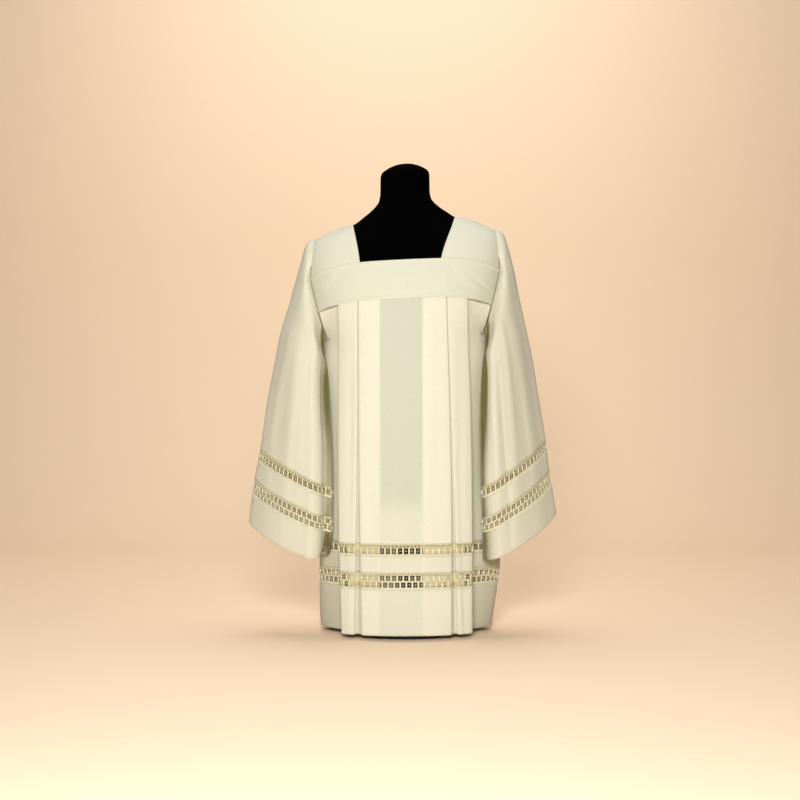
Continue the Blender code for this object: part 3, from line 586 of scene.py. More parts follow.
def mesh_object(name, points, faces, material, uvs=None, behind=None):
    """A smooth mesh object; uvs are in metres and behind, -1 to 1, is its painted shade and the dark form
    showing through.
    """
    mesh = bpy.data.meshes.new(name)
    mesh.from_pydata(points.tolist(), [], faces)
    mesh.materials.append(material)
    if uvs is not None:
        corners = np.empty(len(mesh.loops), dtype=int)
        mesh.loops.foreach_get("vertex_index", corners)
        layer = mesh.uv_layers.new(name="weave")
        layer.data.foreach_set("uv", uvs[corners].ravel())
    if behind is not None:
        attribute = mesh.attributes.new("behind", "FLOAT", "POINT")
        attribute.data.foreach_set("value", np.asarray(behind, dtype=float).ravel())
    mesh.shade_smooth()
    item = bpy.data.objects.new(name, mesh)
    bpy.context.scene.collection.objects.link(item)
    return item


def weave_places(grid):
    """Places along and down a grid, in metres, for the weave to follow."""
    across = np.linalg.norm(np.diff(grid, axis=1), axis=2).mean(axis=0)
    down = np.linalg.norm(np.diff(grid, axis=0), axis=2).mean(axis=1)
    u, v = np.meshgrid(running(across), running(down))
    return np.stack((u, v), axis=-1).reshape(-1, 2)


def cloth_piece(name, grid, nodes, behind, closed=False):
    """A thin shell through a grid of points, which stands for the nodes of its solid."""
    rows, columns = grid.shape[:2]
    item = mesh_object(name, grid.reshape(-1, 3), grid_faces(rows, columns, closed), finish("cotton_lawn"),
                       weave_places(grid), np.broadcast_to(behind, (rows, columns)))
    wall = item.modifiers.new("wall", "SOLIDIFY")
    wall.thickness = bpy.context.scene.surplice.cloth_thickness
    wall.offset = 0.0
    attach(item, "root")
    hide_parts(*nodes)


def turned_under(grid, depth, closed=False):
    """The grid with its last row turned up behind itself, as a hem is."""
    last, up = grid[-1], grid[-2] - grid[-1]
    up /= np.linalg.norm(up, axis=1, keepdims=True)
    inward = -grid_normals(grid, closed)[-1]
    rows = [last + up * high + inward * HEM_GAP * deep for high, deep in (
        (-HEM_GAP * 0.4, 0.5), (HEM_GAP * 0.2, 1.0), (depth * 0.5, 1.1), (depth, 1.1),
    )]
    return np.concatenate((grid, np.stack(rows)), axis=0)


# The form

def oval(half_width, half_depth, fullness, height):
    turn = 2 * np.pi * np.arange(FORM_COLUMNS) / FORM_COLUMNS
    cos, sin = np.cos(turn), np.sin(turn)
    x = np.sign(cos) * np.abs(cos) ** (2 / fullness) * half_width
    y = -np.sign(sin) * np.abs(sin) ** (2 / fullness) * half_depth
    return np.stack((x, y, np.full(FORM_COLUMNS, height)), axis=1)


def closed_turning(rings):
    """Points and faces of a solid through rings that run upward, closed at both ends."""
    count = len(rings[0])
    points = np.concatenate(rings)
    ends = [list(range(count)), list(reversed(range(len(points) - count, len(points))))]
    return points, grid_faces(len(rings), count, closed=True) + ends


# Yoke and straps

def body_curve(x, z):
    power = BODY.at("fullness", z)
    across = np.minimum(np.abs(x) / BODY.at("half_width", z), 1.0)
    return BODY.at("half_depth", z) * (1 - across ** power) ** (1 / power)


def armhole_x(z):
    power = BODY.at("fullness", z)
    deep = ARMHOLE.at("reach", z) / BODY.at("half_depth", z)
    return BODY.at("half_width", z) * (1 - deep ** power) ** (1 / power)


def form_excess(x, y, z):
    """Below zero inside the form, above zero outside it."""
    power = FORM.at("fullness", z)
    across = abs(x) / FORM.at("half_width", z)
    deep = abs(y) / FORM.at("half_depth", z)
    return across ** power + deep ** power - 1


def form_normal(point):
    step = 1e-4
    slope = np.zeros(3)
    for axis in range(3):
        ahead, behind = np.array(point), np.array(point)
        ahead[axis] += step
        behind[axis] -= step
        slope[axis] = form_excess(*ahead) - form_excess(*behind)
    return slope / np.linalg.norm(slope)


def shoulder_point(x, angle, air):
    """A point over the form's shoulder: found along a ray at an angle from the front."""
    across, up = -math.cos(math.radians(angle)), math.sin(math.radians(angle))
    near, far = 0.0, RAY_LENGTH
    for _ in range(RAY_HALVINGS):
        middle = (near + far) / 2
        if form_excess(x, across * middle, SHOULDER_AXIS + up * middle) < 0:
            near = middle
        else:
            far = middle
    point = np.array((x, across * near, SHOULDER_AXIS + up * near))
    return point + form_normal(point) * air


def seam_angle(x, z, behind):
    """The angle over the shoulder at which the form passes a seam's height."""
    power = FORM.at("fullness", z)
    across = abs(x) / FORM.at("half_width", z)
    deep = FORM.at("half_depth", z) * (1 - across ** power) ** (1 / power)
    angle = math.degrees(math.atan2(z - SHOULDER_AXIS, deep))
    return 180 - angle if behind else angle


def strap_angle(x, share):
    start = seam_angle(x, FRONT_NECK + STRAP_SEAM, False)
    end = seam_angle(x, BACK_NECK + STRAP_SEAM, True)
    return start + (end - start) * share


def strap_x(side, share, step):
    key = 180 * share
    return (1 - step) * STRAP.at(side + "_neck", key) + step * STRAP.at("armhole", key)


# Body

def corner_point(start, corner, end, t):
    """A point, at a share of the way, of the bend that rounds a corner."""
    return (1 - t) ** 2 * start + 2 * t * (1 - t) * corner + t * t * end


def bend_line(start, corner, end):
    return [corner_point(start, corner, end, k / BENDS) for k in range(1, BENDS + 1)]


def rounded(points, radii, steps):
    """A line whose corners are rounded, always through the same number of points."""
    points = [np.array(p, dtype=float) for p in points]
    line, last = [points[0]], points[0]
    for i in range(1, len(points)):
        end = points[i]
        inner = i < len(points) - 1
        if inner:
            back = points[i - 1] - points[i]
            ahead = points[i + 1] - points[i]
            reach = [min(radius, np.linalg.norm(way) / 2) / np.linalg.norm(way)
                     for radius, way in zip(radii[i], (back, ahead))]
            end = points[i] + back * reach[0]
        line += [last + (end - last) * k / steps[i - 1] for k in range(1, steps[i - 1] + 1)]
        if inner:
            last = points[i] + ahead * reach[1]
            line += bend_line(end, points[i], last)
    return np.array(line)


PLEAT_RADIUS = LAYER / 2
PLEAT_STEPS = (26, 1, 4, 1, 24, 1, 4, 1, 16)
ROUNDING = 0.0007       # what the rounded folds take from half of an open line's width
LEAST_GAP = 0.0002      # half the width of a line that is all but closed
ROLL = 0.0006           # a fold beside the line rolls in by this much more than the others
FOLD_ROLL = 0.9         # and by this share of the half width that the line stands open
VALLEY_MORE = 0.0012    # the hidden layer's valley is this much wider than the open line
VALLEY_STEPS = 12
EDGE_RADIUS = 0.004
EDGE_OUT = 0.0004       # the panel's outer fold rolls out by this
EDGE_BACK = 0.4         # and back by this share of its drop
EDGE_MOST = 0.3         # and takes no more than this share of the step behind it
RECESS_RADIUS = 0.009
RECESS_MOST = 0.35
SIDE_MOST = 0.18
RECESS_STEPS = 6
SIDE_STEPS = 12
BENDS = 4

# Columns of a half line: where each flat stretch starts and stops
MIDDLE_STOP = PLEAT_STEPS[0]
HIDDEN_START = sum(PLEAT_STEPS[:4]) + 4 * BENDS
HIDDEN_STOP = HIDDEN_START + PLEAT_STEPS[4]
PANEL_START = sum(PLEAT_STEPS[:8]) + 8 * BENDS
PANEL_STOP = PANEL_START + PLEAT_STEPS[8]
SIDE_START = PANEL_STOP + BENDS + RECESS_STEPS + BENDS
SIDE_STOP = SIDE_START + SIDE_STEPS


def pleat_line(pleat, z):
    """The pleat at a height as (x, depth) points, from the middle to the panel's outer fold."""
    line, edge = pleat.at("line", z), pleat.at("edge", z)
    underlay, gap = pleat.at("underlay", z), pleat.at("opening", z) / 2
    tuck = edge - RECESS.at("inward", z) - TUCK_SHORT
    corners = [(0.0, 0), (line - gap, 0), (line - gap, 1), (underlay, 1), (underlay, 2),
               (tuck, 2), (tuck, 1), (line + gap, 1), (line + gap, 0), (edge - EDGE_RADIUS, 0)]
    gap = max(gap - ROUNDING, LEAST_GAP)
    roll = PLEAT_RADIUS + ROLL + gap * FOLD_ROLL
    radii = [(PLEAT_RADIUS, PLEAT_RADIUS)] * len(corners)
    radii[1], radii[8] = (roll, PLEAT_RADIUS), (PLEAT_RADIUS, roll)
    path = rounded([(x, depth * LAYER) for x, depth in corners], radii, PLEAT_STEPS)
    hidden = path[HIDDEN_START:HIDDEN_STOP + 1]
    wide, beside = gap + VALLEY_MORE, (PLEAT_STEPS[4] - VALLEY_STEPS) // 2 + 1
    hidden[:, 0] = np.concatenate((
        np.linspace(hidden[0, 0], line - wide, beside),
        np.linspace(line - wide, line + wide, VALLEY_STEPS + 1)[1:-1],
        np.linspace(line + wide, hidden[-1, 0], beside),
    ))
    hidden[:, 1] += VALLEY.at("depth", z) * np.clip(1 - np.abs(hidden[:, 0] - line) / wide, 0, 1)
    return path


def half_line(pleat, z, side_name):
    """The body's line at a height, from its middle to its side, as (x, y) points."""
    path = pleat_line(pleat, z)
    path[:, 1] -= body_curve(path[:, 0], z)
    edge = pleat.at("edge", z)
    front = -body_curve(edge, z)
    corner = np.array((edge + EDGE_OUT, front + EDGE_DROP * EDGE_BACK))
    start = np.array((edge - RECESS.at("inward", z), front + EDGE_DROP + RECESS.at("back", z)))
    if z > UNDERARM:
        stop = np.array((armhole_x(z), -ARMHOLE.at("reach", z)))
    else:
        stop = np.array((SIDES.at(side_name, z), -SEAM))
    round_side = float(smoothstep((YOKE_SEAM - z) / (YOKE_SEAM - ROUND_SIDE_START)))
    control = (start + stop) / 2 * (1 - round_side)
    control = control + np.array((stop[0], start[1] * SIDE_BULGE)) * round_side
    reach = start - corner
    reach_length = np.linalg.norm(reach)
    turn_in = corner + reach * min(EDGE_RADIUS / reach_length, EDGE_MOST)
    turn_out = start - reach * min(RECESS_RADIUS / reach_length, RECESS_MOST)
    share = min(RECESS_RADIUS / np.linalg.norm(stop - start), SIDE_MOST)
    shares = [share + (1 - share) * k / SIDE_STEPS for k in range(SIDE_STEPS + 1)]
    side = [corner_point(start, control, stop, t) for t in shares]
    extra = bend_line(path[-1], corner, turn_in)
    extra += [turn_in + (turn_out - turn_in) * k / RECESS_STEPS for k in range(1, RECESS_STEPS + 1)]
    extra += bend_line(turn_out, start, side[0]) + side[1:]
    return np.concatenate((path, np.array(extra)))


def body_grid(heights, behind):
    """Points of the front or back through rows at these heights, as seen from outside."""
    turn = -1 if behind else 1
    sides = ("right", "left") if behind else ("left", "right")
    rows = []
    for z in heights:
        left = half_line(PLEATS["back" if behind else "front_left"], z, sides[0])
        right = half_line(PLEATS["back" if behind else "front_right"], z, sides[1])
        line = np.concatenate((left[:0:-1] * (-1, 1), right)) * turn
        rows.append(np.column_stack((line, np.full(len(line), z))))
    grid = leaned(np.array(rows))
    return grid + grid_normals(grid) * body_crease(grid, behind)[:, :, None]


def half_columns(columns):
    """For each column of a body grid, its place in the half line that it belongs to."""
    return np.abs(np.arange(columns) - columns // 2)


def body_crease(grid, behind):
    """How far out the soft creases push each point; layers inside a pleat stay."""
    columns = half_columns(grid.shape[1])
    shown = (columns <= MIDDLE_STOP) | ((columns >= PANEL_START) & (columns <= PANEL_STOP))
    fade = np.minimum(np.abs(columns - MIDDLE_STOP), np.abs(columns - PANEL_START))
    fade = np.minimum(fade, np.abs(columns - PANEL_STOP))
    fade = np.where(shown, smoothstep(fade / BENDS), 0.0)
    push = np.zeros(grid.shape[:2])
    for across, middle, reach, depth, spread in BODY_CREASES["back" if behind else "front"]:
        along = np.exp(-((grid[:, :, 2] - middle) / reach) ** 2)
        push -= depth * along * np.exp(-((grid[:, :, 0] - across) / spread) ** 2)
    return push * fade[None, :]


# What the body's cloth is painted with. Below zero: painted shade, on the sides turned from the
# light, in the pleats' open lines and on the plain strip, for one layer with the unlit inside behind it.
# Above zero: the middle's one layer, grey with the form behind it; below the form's lower end a fainter grey,
# there painted shade
SIDE_PAINTED_SHADE = Table(("height", "share"), (
    (0.012, 0.33), (0.200, 0.22), (0.300, 0.08), (0.684, 0.04), (0.757, 0.0),
))
VALLEY_PAINTED_SHADE = Table(("height", "share"), (
    (0.012, 0.07), (0.200, 0.07), (0.400, 0.05), (0.757, 0.0),
))
VALLEY_NEAR = 0.012     # that line's painted shade reaches this far to either side
STRIP_PAINTED_SHADE = 0.06     # painted shade on the plain strip between the laces, which has no hem behind it
MIDDLE_FAINT = 0.35     # what the middle keeps of its grey below the form, there as painted shade
FORM_FADE_START = 0.03  # it fades from this far below the form's lower end
FORM_FADE = 0.07        # over this height
MIDDLE_SOFT = 0.003     # how softly the middle's grey ends at the underlay's folds
MIDDLE_SOFTER = 0.007   # and how much more softly near the form's lower end
SOFTER_BELOW = 0.36
SOFTER_FADE = 0.12


def body_shade_and_show_through(grid, behind):
    """What each point of a body grid is painted with: the form behind it (to 1), cloth (0) or painted shade (to
    -1).
    """
    columns = half_columns(grid.shape[1])
    shade = np.zeros(grid.shape[:2])
    middle = grid.shape[1] // 2
    for r, row in enumerate(grid):
        z = row[middle, 2]
        over_form = float(smoothstep((z - FORM_BOTTOM + FORM_FADE_START) / FORM_FADE))
        soft = MIDDLE_SOFT + MIDDLE_SOFTER * (1 - float(smoothstep((z - SOFTER_BELOW) / SOFTER_FADE)))
        grey = MIDDLE_FAINT + (1 - MIDDLE_FAINT) * over_form
        for sign in (-1, 1):
            left = (sign < 0) != behind
            pleat = PLEATS["back" if behind else ("front_left" if left else "front_right")]
            own = (np.arange(len(row)) - middle) * sign >= 0
            inside = pleat.at("underlay", z) - np.abs(row[:, 0])
            single = smoothstep(inside / soft + 0.5) * (columns <= MIDDLE_STOP)
            side = smoothstep((columns - SIDE_START + BENDS) / BENDS)
            hidden = (columns >= HIDDEN_START - BENDS) & (columns <= HIDDEN_STOP + BENDS)
            near = np.exp(-((np.abs(row[:, 0]) - pleat.at("line", z)) / VALLEY_NEAR) ** 4)
            shade[r] += np.where(own, single, 0.0) * grey
            # painted shade on the sides
            shade[r] -= np.where(own, side, 0.0) * SIDE_PAINTED_SHADE.at("share", z)
            # painted shade in the pleats' open lines
            shade[r] -= np.where(own & hidden, near, 0.0) * VALLEY_PAINTED_SHADE.at("share", z)
        shade[r, middle] = grey
    return shade


# Sleeves

def armhole_edge(side, behind):
    """Points from the shoulder's top down to the underarm, lapped just outside the edge."""
    sign = -1 if side == "left" else 1
    turn = 1 if behind else -1
    lap = CLOTH + LAP
    neck = BACK_NECK if behind else FRONT_NECK
    points = []
    for share in np.linspace(0.5, 1.0 if behind else 0.0, 9):
        x = strap_x(side, share, 1.0)
        point = shoulder_point(x, strap_angle(x, share), SHOULDER_AIR + CLOTH / 2 + lap)
        points.append((point[0] * sign, point[1], point[2]))
    for z in np.linspace(neck - ARMHOLE_GAP, UNDERARM, 16):
        x, y = armhole_x(z), ARMHOLE.at("reach", z)
        power = BODY.at("fullness", z)
        normal = np.array((
            x ** (power - 1) / BODY.at("half_width", z) ** power,
            y ** (power - 1) / BODY.at("half_depth", z) ** power,
        ))
        normal /= np.linalg.norm(normal)
        points.append(((x + normal[0] * lap) * sign, turn * (y + normal[1] * lap), z))
    return leaned(points)


ARMHOLE_EDGES = {}


def armhole_point(side, turn):
    """The armhole's edge, with turn running from 0 at the top to pi at the underarm."""
    turn %= 2 * math.pi
    behind = turn > math.pi
    share = (2 * math.pi - turn if behind else turn) / math.pi
    if (side, behind) not in ARMHOLE_EDGES:
        points = armhole_edge(side, behind)
        lengths = running(np.linalg.norm(np.diff(points, axis=0), axis=1))
        ARMHOLE_EDGES[(side, behind)] = (points, lengths / lengths[-1])
    points, places = ARMHOLE_EDGES[(side, behind)]
    return np.array([np.interp(share, places, points[:, axis]) for axis in range(3)])


def turn_apart(turn, degrees):
    """How far a turn, or each of an array of them, is from a place in degrees."""
    return (turn - math.radians(degrees) + math.pi) % (2 * math.pi) - math.pi


def fold_depth(side, up, turn):
    """How far the folds and creases press the sleeve in at one place."""
    total = 0.0
    for around, middle, reach, depth, spread in SLEEVE_CREASES[side]:
        along = math.exp(-((up - middle) / reach) ** 2)
        total += depth * along * math.exp(-(turn_apart(turn, around) / spread) ** 2)
    return total


def sleeve_point(side, up, turn):
    """A point of the sleeve's middle surface; turn 0 is its outer line, pi/2 its front."""
    sign = -1 if side == "left" else 1
    line = SLEEVES[side]
    outer, inner = [
        np.array((sign * line.at(e + "_x", up), SLEEVE_SHAPE.at(e + "_y", up), line.at(e + "_z", up)))
        for e in ("outer", "inner")
    ]
    centre, reach = (outer + inner) / 2, (outer - inner) / 2
    length = np.linalg.norm(reach)
    front = np.array((0.0, -1.0, 0.0))
    front -= reach * (front @ reach) / length ** 2
    front /= np.linalg.norm(front)
    depth = SLEEVE_SHAPE.at("half_depth", up)
    cos, sin = math.cos(turn), math.sin(turn)
    point = centre + reach * cos + front * depth * sin
    outward = reach / length * cos * depth + front * sin * length
    outward /= np.linalg.norm(outward)
    point -= outward * fold_depth(side, up, turn)
    low = 1 - float(smoothstep(up / CUFF_TILT_REACH))
    point[2] -= SLEEVE_SHAPE.at("droop", up) * abs(sin) + CUFF_TILT * depth * sin * low
    point[2] += CUFF_LIFT[side] * max(-cos, 0.0) ** CUFF_LIFT_POWER * (1 - float(smoothstep(up / CUFF_BAND)))
    blend = max((up - ARM_BLEND_START) / (SLEEVE_TOP - ARM_BLEND_START), 0.0) ** 3
    if blend > 0:
        point = point * (1 - blend) + armhole_point(side, turn) * blend
    return point


def sleeve_turns(side):
    way = 1 if side == "left" else -1
    return [way * 2 * math.pi * i / SLEEVE_COLUMNS for i in range(SLEEVE_COLUMNS)]


def sleeve_grid(side, ups):
    """Rows of points round a sleeve at these distances up from the cuff's hem."""
    return np.array([[sleeve_point(side, up, turn) for turn in sleeve_turns(side)] for up in ups])


def sleeve_painted_shade(side, ups):
    """The painted shade at each point of a sleeve's grid, below zero as for the body."""
    turns = np.array(sleeve_turns(side))
    shade = np.full((len(ups), len(turns)), -SLEEVE_SHADE_ALL_OVER)
    for around, middle, reach, share, spread in SLEEVE_SHADE_PATCHES[side]:
        along = np.exp(-((np.array(ups) - middle) / reach) ** 2)
        shade -= share * along[:, None] * np.exp(-(turn_apart(turns, around) / spread) ** 2)[None, :]
    return np.maximum(shade, -1.0)


# Lace

class Pile:
    """Vertices and faces gathered from many small things into one mesh."""

    def __init__(self):
        self.points, self.faces, self.shade = [], [], []
        self.count = 0

    def add(self, points, faces, shade=0.0):
        points = points.reshape(-1, 3)
        self.points.append(points)
        self.faces += [[i + self.count for i in face] for face in faces]
        self.shade += [shade] * len(points)
        self.count += len(points)

    def mesh(self, name, material):
        return mesh_object(name, np.concatenate(self.points), self.faces, material, behind=self.shade)


class Wrap:
    """Places a flat pattern on a grid of cloth: along it, down it and out from it."""

    def __init__(self, grid, closed=False):
        normals = grid_normals(grid, closed)
        if closed:
            grid, normals = (np.concatenate((each, each[:, :1]), axis=1) for each in (grid, normals))
        self.grid, self.normals = grid, normals
        across = np.linalg.norm(np.diff(grid, axis=1), axis=2).mean(axis=0)
        down = np.linalg.norm(np.diff(grid, axis=0), axis=2)
        self.along, self.down = running(across), running(np.median(down, axis=1))
        self.width, self.length = self.along[-1], self.down[-1]

    def place(self, flat):
        """Points of the cloth for (along, down, out) rows."""
        flat = np.asarray(flat, dtype=float).reshape(-1, 3)
        c = np.clip(np.searchsorted(self.along, flat[:, 0], side="right") - 1, 0, len(self.along) - 2)
        r = np.clip(np.searchsorted(self.down, flat[:, 1], side="right") - 1, 0, len(self.down) - 2)
        u = ((flat[:, 0] - self.along[c]) / (self.along[c + 1] - self.along[c]))[:, None]
        v = ((flat[:, 1] - self.down[r]) / (self.down[r + 1] - self.down[r]))[:, None]

        def mix(values):
            top = values[r, c] * (1 - u) + values[r, c + 1] * u
            low = values[r + 1, c] * (1 - u) + values[r + 1, c + 1] * u
            return top * (1 - v) + low * v

        normals = mix(self.normals)
        normals /= np.maximum(np.linalg.norm(normals, axis=1, keepdims=True), 1e-9)
        return mix(self.grid) + normals * flat[:, 2:]


def ring_outline(kind, width, height):
    """Sixteen points round an opening, from its upper left corner and anticlockwise."""
    side, full = np.linspace(-1, 1, 5)[:-1], np.ones(4)
    sides = ((-full, side), (side, full), (full, -side), (-side, -full))
    places = np.concatenate([np.stack(each, axis=1) for each in sides])
    if kind == "soft":
        places /= np.linalg.norm(places, axis=1, keepdims=True) ** SOFT_CORNERS
    if kind == "triangle":
        places[:, 0] *= TRIANGLE_TOP + (1 - TRIANGLE_TOP) * (places[:, 1] + 1) / 2
    return places * (width / 2, height / 2)


def ring_faces():
    """Faces of a cell: its front, its back, the opening's wall and the outer edge."""
    a = np.arange(16)
    b = (a + 1) % 16
    c, d = b + 16, a + 16
    sides = ((a, b, c, d), (d + 32, c + 32, b + 32, a + 32), (d, c, c + 32, d + 32), (b, a, a + 32, b + 32))
    return np.concatenate([np.stack(each, axis=1) for each in sides]).tolist()


def tube_faces(segments):
    """Faces of a tube with four sides, closed at both ends."""
    faces = [(4 * i + k, 4 * i + (k + 1) % 4, 4 * i + 4 + (k + 1) % 4, 4 * i + 4 + k)
             for i in range(segments) for k in range(4)]
    return faces + [(3, 2, 1, 0), tuple(4 * segments + k for k in range(4))]


def bead_faces():
    """Faces of an oval: rings of quads between two ends of triangles."""
    faces, lowest = [], 1 + (len(BEAD_RINGS) - 1) * BEAD_TURNS
    for k in range(BEAD_TURNS):
        m = (k + 1) % BEAD_TURNS
        faces.append((0, 1 + m, 1 + k))
        for a in range(1, lowest, BEAD_TURNS):
            faces.append((a + k, a + m, a + BEAD_TURNS + m, a + BEAD_TURNS + k))
        faces.append((lowest + k, lowest + m, lowest + BEAD_TURNS))
    return faces


BEAD_TURNS = 8
BEAD_RINGS = (-0.96, -0.6, 0.0, 0.6, 0.96)
BEAD_FACES = bead_faces()
RING_FACES = ring_faces()


def add_ring(pile, wrap, along, down, cell, opening, kind):
    """A cell of lace with an opening through it, of two faces and a wall."""
    outlines = (ring_outline("square", *cell), ring_outline(kind, *opening))
    flat = [(along + a, down + d, height) for height in (LACE_THICK / 2, -LACE_THICK / 2)
            for outline in outlines for a, d in outline]
    pile.add(wrap.place(flat), RING_FACES, CLOSE_WORK)


def add_tape(pile, wrap, start, stop, top, bottom, shade, step):
    """A plain woven strip, closed all round."""
    count = max(int(math.ceil((stop - start) / step)), 1)
    out = LACE_THICK / 2
    section = ((top, out), (bottom, out), (bottom, -out), (top, -out))
    flat = [(place, down, height) for place in np.linspace(start, stop, count + 1) for down, height in section]
    pile.add(wrap.place(flat), tube_faces(count), shade)


def add_thread(pile, wrap, path, radius, shade=0.0):
    """A thread along (along, down, out) places."""
    centre = wrap.place(path)
    tangent = np.gradient(centre, axis=0)
    tangent /= np.maximum(np.linalg.norm(tangent, axis=1, keepdims=True), 1e-12)
    lifted = wrap.place(np.asarray(path, dtype=float) + (0, 0, 0.001)) - centre
    side = np.cross(tangent, lifted)
    side /= np.maximum(np.linalg.norm(side, axis=1, keepdims=True), 1e-12)
    up = np.cross(side, tangent)
    turns = [2 * math.pi * (k + 0.5) / 4 for k in range(4)]
    rings = [centre + side * math.cos(turn) * radius + up * math.sin(turn) * radius for turn in turns]
    pile.add(np.stack(rings, axis=1), tube_faces(len(centre) - 1), shade)


def add_bead(pile, wrap, along, down, half_along, half_down, half_out, shade, out=0.0, taper=0.0):
    """A raised oval of thread, such as a bar or a knot."""
    flat = [(along, down - half_down, out)]
    for t in BEAD_RINGS:
        reach = math.sqrt(1 - t * t)
        for k in range(BEAD_TURNS):
            turn = 2 * math.pi * k / BEAD_TURNS
            flat.append((
                along + math.cos(turn) * half_along * reach * (1 + taper * t),
                down + t * half_down,
                out + math.sin(turn) * half_out * reach,
            ))
    flat.append((along, down + half_down, out))
    pile.add(wrap.place(flat), BEAD_FACES, shade)


def window_middles(start, stop, half_step):
    """Where each large opening's middle stands along a stretch."""
    length = stop - start
    count = max(int((length - WINDOW - 2 * END_BAR) / PITCH) + (0 if half_step else 1), 0)
    first = (length - (count - 1) * PITCH) / 2
    return [start + (first + i * PITCH) for i in range(count)]


def add_window_row(pile, wrap, start, stop, top, bottom, half_step, taper, plain):
    """A row of large openings with bead-like bars between them and a knot in each.
    Beyond the plain stretch each opening is closer, with two more threads across."""
    middles = window_middles(start, stop, half_step)
    if not middles:
        add_tape(pile, wrap, start, stop, top, bottom, CLOSE_WORK, TAPE_STEP)
        return
    edges = [middles[0] - PITCH / 2, middles[-1] + PITCH / 2]
    for first, last in ((start, edges[0]), (edges[1], stop)):
        if first < last:
            add_tape(pile, wrap, first, last, top, bottom, CLOSE_WORK, TAPE_STEP)
    down, height = (top + bottom) / 2, bottom - top
    half, reach = WINDOW / 2 + THREAD_LAP, height * THREAD_REACH
    for middle in middles:
        add_ring(pile, wrap, middle, down, (PITCH, height), (WINDOW, height * WINDOW_SHARE), "soft")
        crossing, radius = [(half, 0.0, 0.0), (0.0, reach, 0.0)], THREAD
        if not plain[0] <= middle <= plain[1]:
            crossing += [(half, 0.0, -reach / 2), (half, 0.0, reach / 2)]
            radius = CLOSE_THREAD
        for across, upright, level in crossing:
            path = [(middle + across * t, down + level + upright * t, 0.0) for t in (-1, 0, 1)]
            add_thread(pile, wrap, path, radius, THREAD_SHADE)
        add_bead(pile, wrap, middle, down, *KNOT, BAR_SHADE)
    # bars beyond the plain stretch take painted shade
    for place in [m - PITCH / 2 for m in middles] + [edges[1]]:
        add_bead(pile, wrap, place, down, BAR_HALF_WIDTH, height * BAR_REACH, BAR_HALF_THICK,
                 0.0 if plain[0] < place < plain[1] else BAR_SHADE, BAR_OUT, taper)


def add_small_holes(pile, wrap, start, stop, top, bottom):
    """A strip pierced by a row of small holes."""
    count = max(int(round((stop - start) / SMALL_PITCH)), 1)
    cell = (stop - start) / count
    for i in range(count):
        add_ring(pile, wrap, start + (i + 0.5) * cell, (top + bottom) / 2, (cell, bottom - top),
                 (SMALL_HOLE, (bottom - top) * SMALL_SHARE), "triangle")


def lace_layout(length, windows):
    """Strips of a band from its top down: (kind, top, bottom) for solid, holes and windows."""
    place = windows[0][0] * length - HOLES_ABOVE
    strips = [("solid", 0.0, TOP_TAPE), ("holes", TOP_TAPE, place)]
    for high, low in windows:
        top, bottom = high * length - WINDOW_ROUND, low * length + WINDOW_ROUND
        strips += [("solid", place, top), ("windows", top, bottom)]
        place = bottom
    return strips + [("solid", place, length)]


def lace_piece(name, grid, closed, windows, stretches, nodes, plain=(0.0, 0.0)):
    """A band of lace laid on a grid of cloth, which stands for the nodes of its solid."""
    wrap, pile = Wrap(grid, closed), Pile()
    strips = lace_layout(wrap.length, windows)
    marks = [(wrap.along[a], wrap.along[b]) for a, b in stretches]
    place = 0.0
    for start, stop in marks + [(wrap.width, wrap.width)]:
        if place < start:
            add_tape(pile, wrap, place, start, 0.0, wrap.length, HIDDEN_WORK, HIDDEN_STEP)
        place = stop
    for start, stop in marks:
        row = 0
        for kind, top, bottom in strips:
            if bottom <= top:
                continue
            if kind == "solid":
                add_tape(pile, wrap, start, stop, top, bottom, CLOSE_WORK, TAPE_STEP)
            elif kind == "holes":
                add_small_holes(pile, wrap, start, stop, top, bottom)
            else:
                taper = BAR_TAPERS[len(windows)][row]
                add_window_row(pile, wrap, start, stop, top, bottom, row == 1, taper, plain)
                row += 1
    cords = [CORD_IN, wrap.length - CORD_IN, wrap.length - SECOND_CORD_IN]
    for kind, top, bottom in strips:
        if kind == "windows":
            cords += [top - CORD_OFF, bottom + CORD_OFF]
    for down in cords:
        places = np.append(np.arange(0.0, wrap.width, CORD_STEP), wrap.width)
        path = [(place, down, LACE_THICK * CORD_OUT) for place in places]
        add_thread(pile, wrap, path, LOWEST_CORD if down == cords[1] else CORD)
    item = pile.mesh(name, finish("cotton_lace"))
    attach(item, "root")
    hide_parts(*nodes)


def stitch_line(name, wrap, down, margin):
    """A row of small stitches along the cloth, as one mesh."""
    pile = Pile()
    place = margin
    while place + STITCH < wrap.width - margin:
        arch = ((0.0, 0.4), (0.5, 1.0), (1.0, 0.4))
        path = [(place + STITCH * t, down, STITCH_OUT * high) for t, high in arch]
        add_thread(pile, wrap, path, STITCH_RADIUS)
        place += STITCH + STITCH_GAP
    item = pile.mesh(name, finish("sewing_cotton"))
    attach(item, "root")


# Finishes

def linear(colour):
    """A hex sRGB colour, such as FBF3D8, as linear red, green and blue."""
    parts = [int(colour[i:i + 2], 16) / 255 for i in (0, 2, 4)]
    return tuple(p / 12.92 if p <= 0.04045 else ((p + 0.055) / 1.055) ** 2.4 for p in parts)


def add_node(tree, kind, values=None, links=None, **settings):
    """Adds a node with its settings, the constants on its sockets and what feeds them."""
    node = tree.nodes.new(kind)
    for name, value in settings.items():
        setattr(node, name, value)
    for name, value in (values or {}).items():
        node.inputs[name].default_value = value
    for name, source in (links or {}).items():
        tree.links.new(source, node.inputs[name])
    return node


def new_finish(name):
    """A material with an empty tree but for its output."""
    material = bpy.data.materials.new(name)
    material.use_nodes = True
    material.node_tree.nodes.clear()
    return material, material.node_tree


def paint(colour):
    return tuple(colour) + (1.0,)


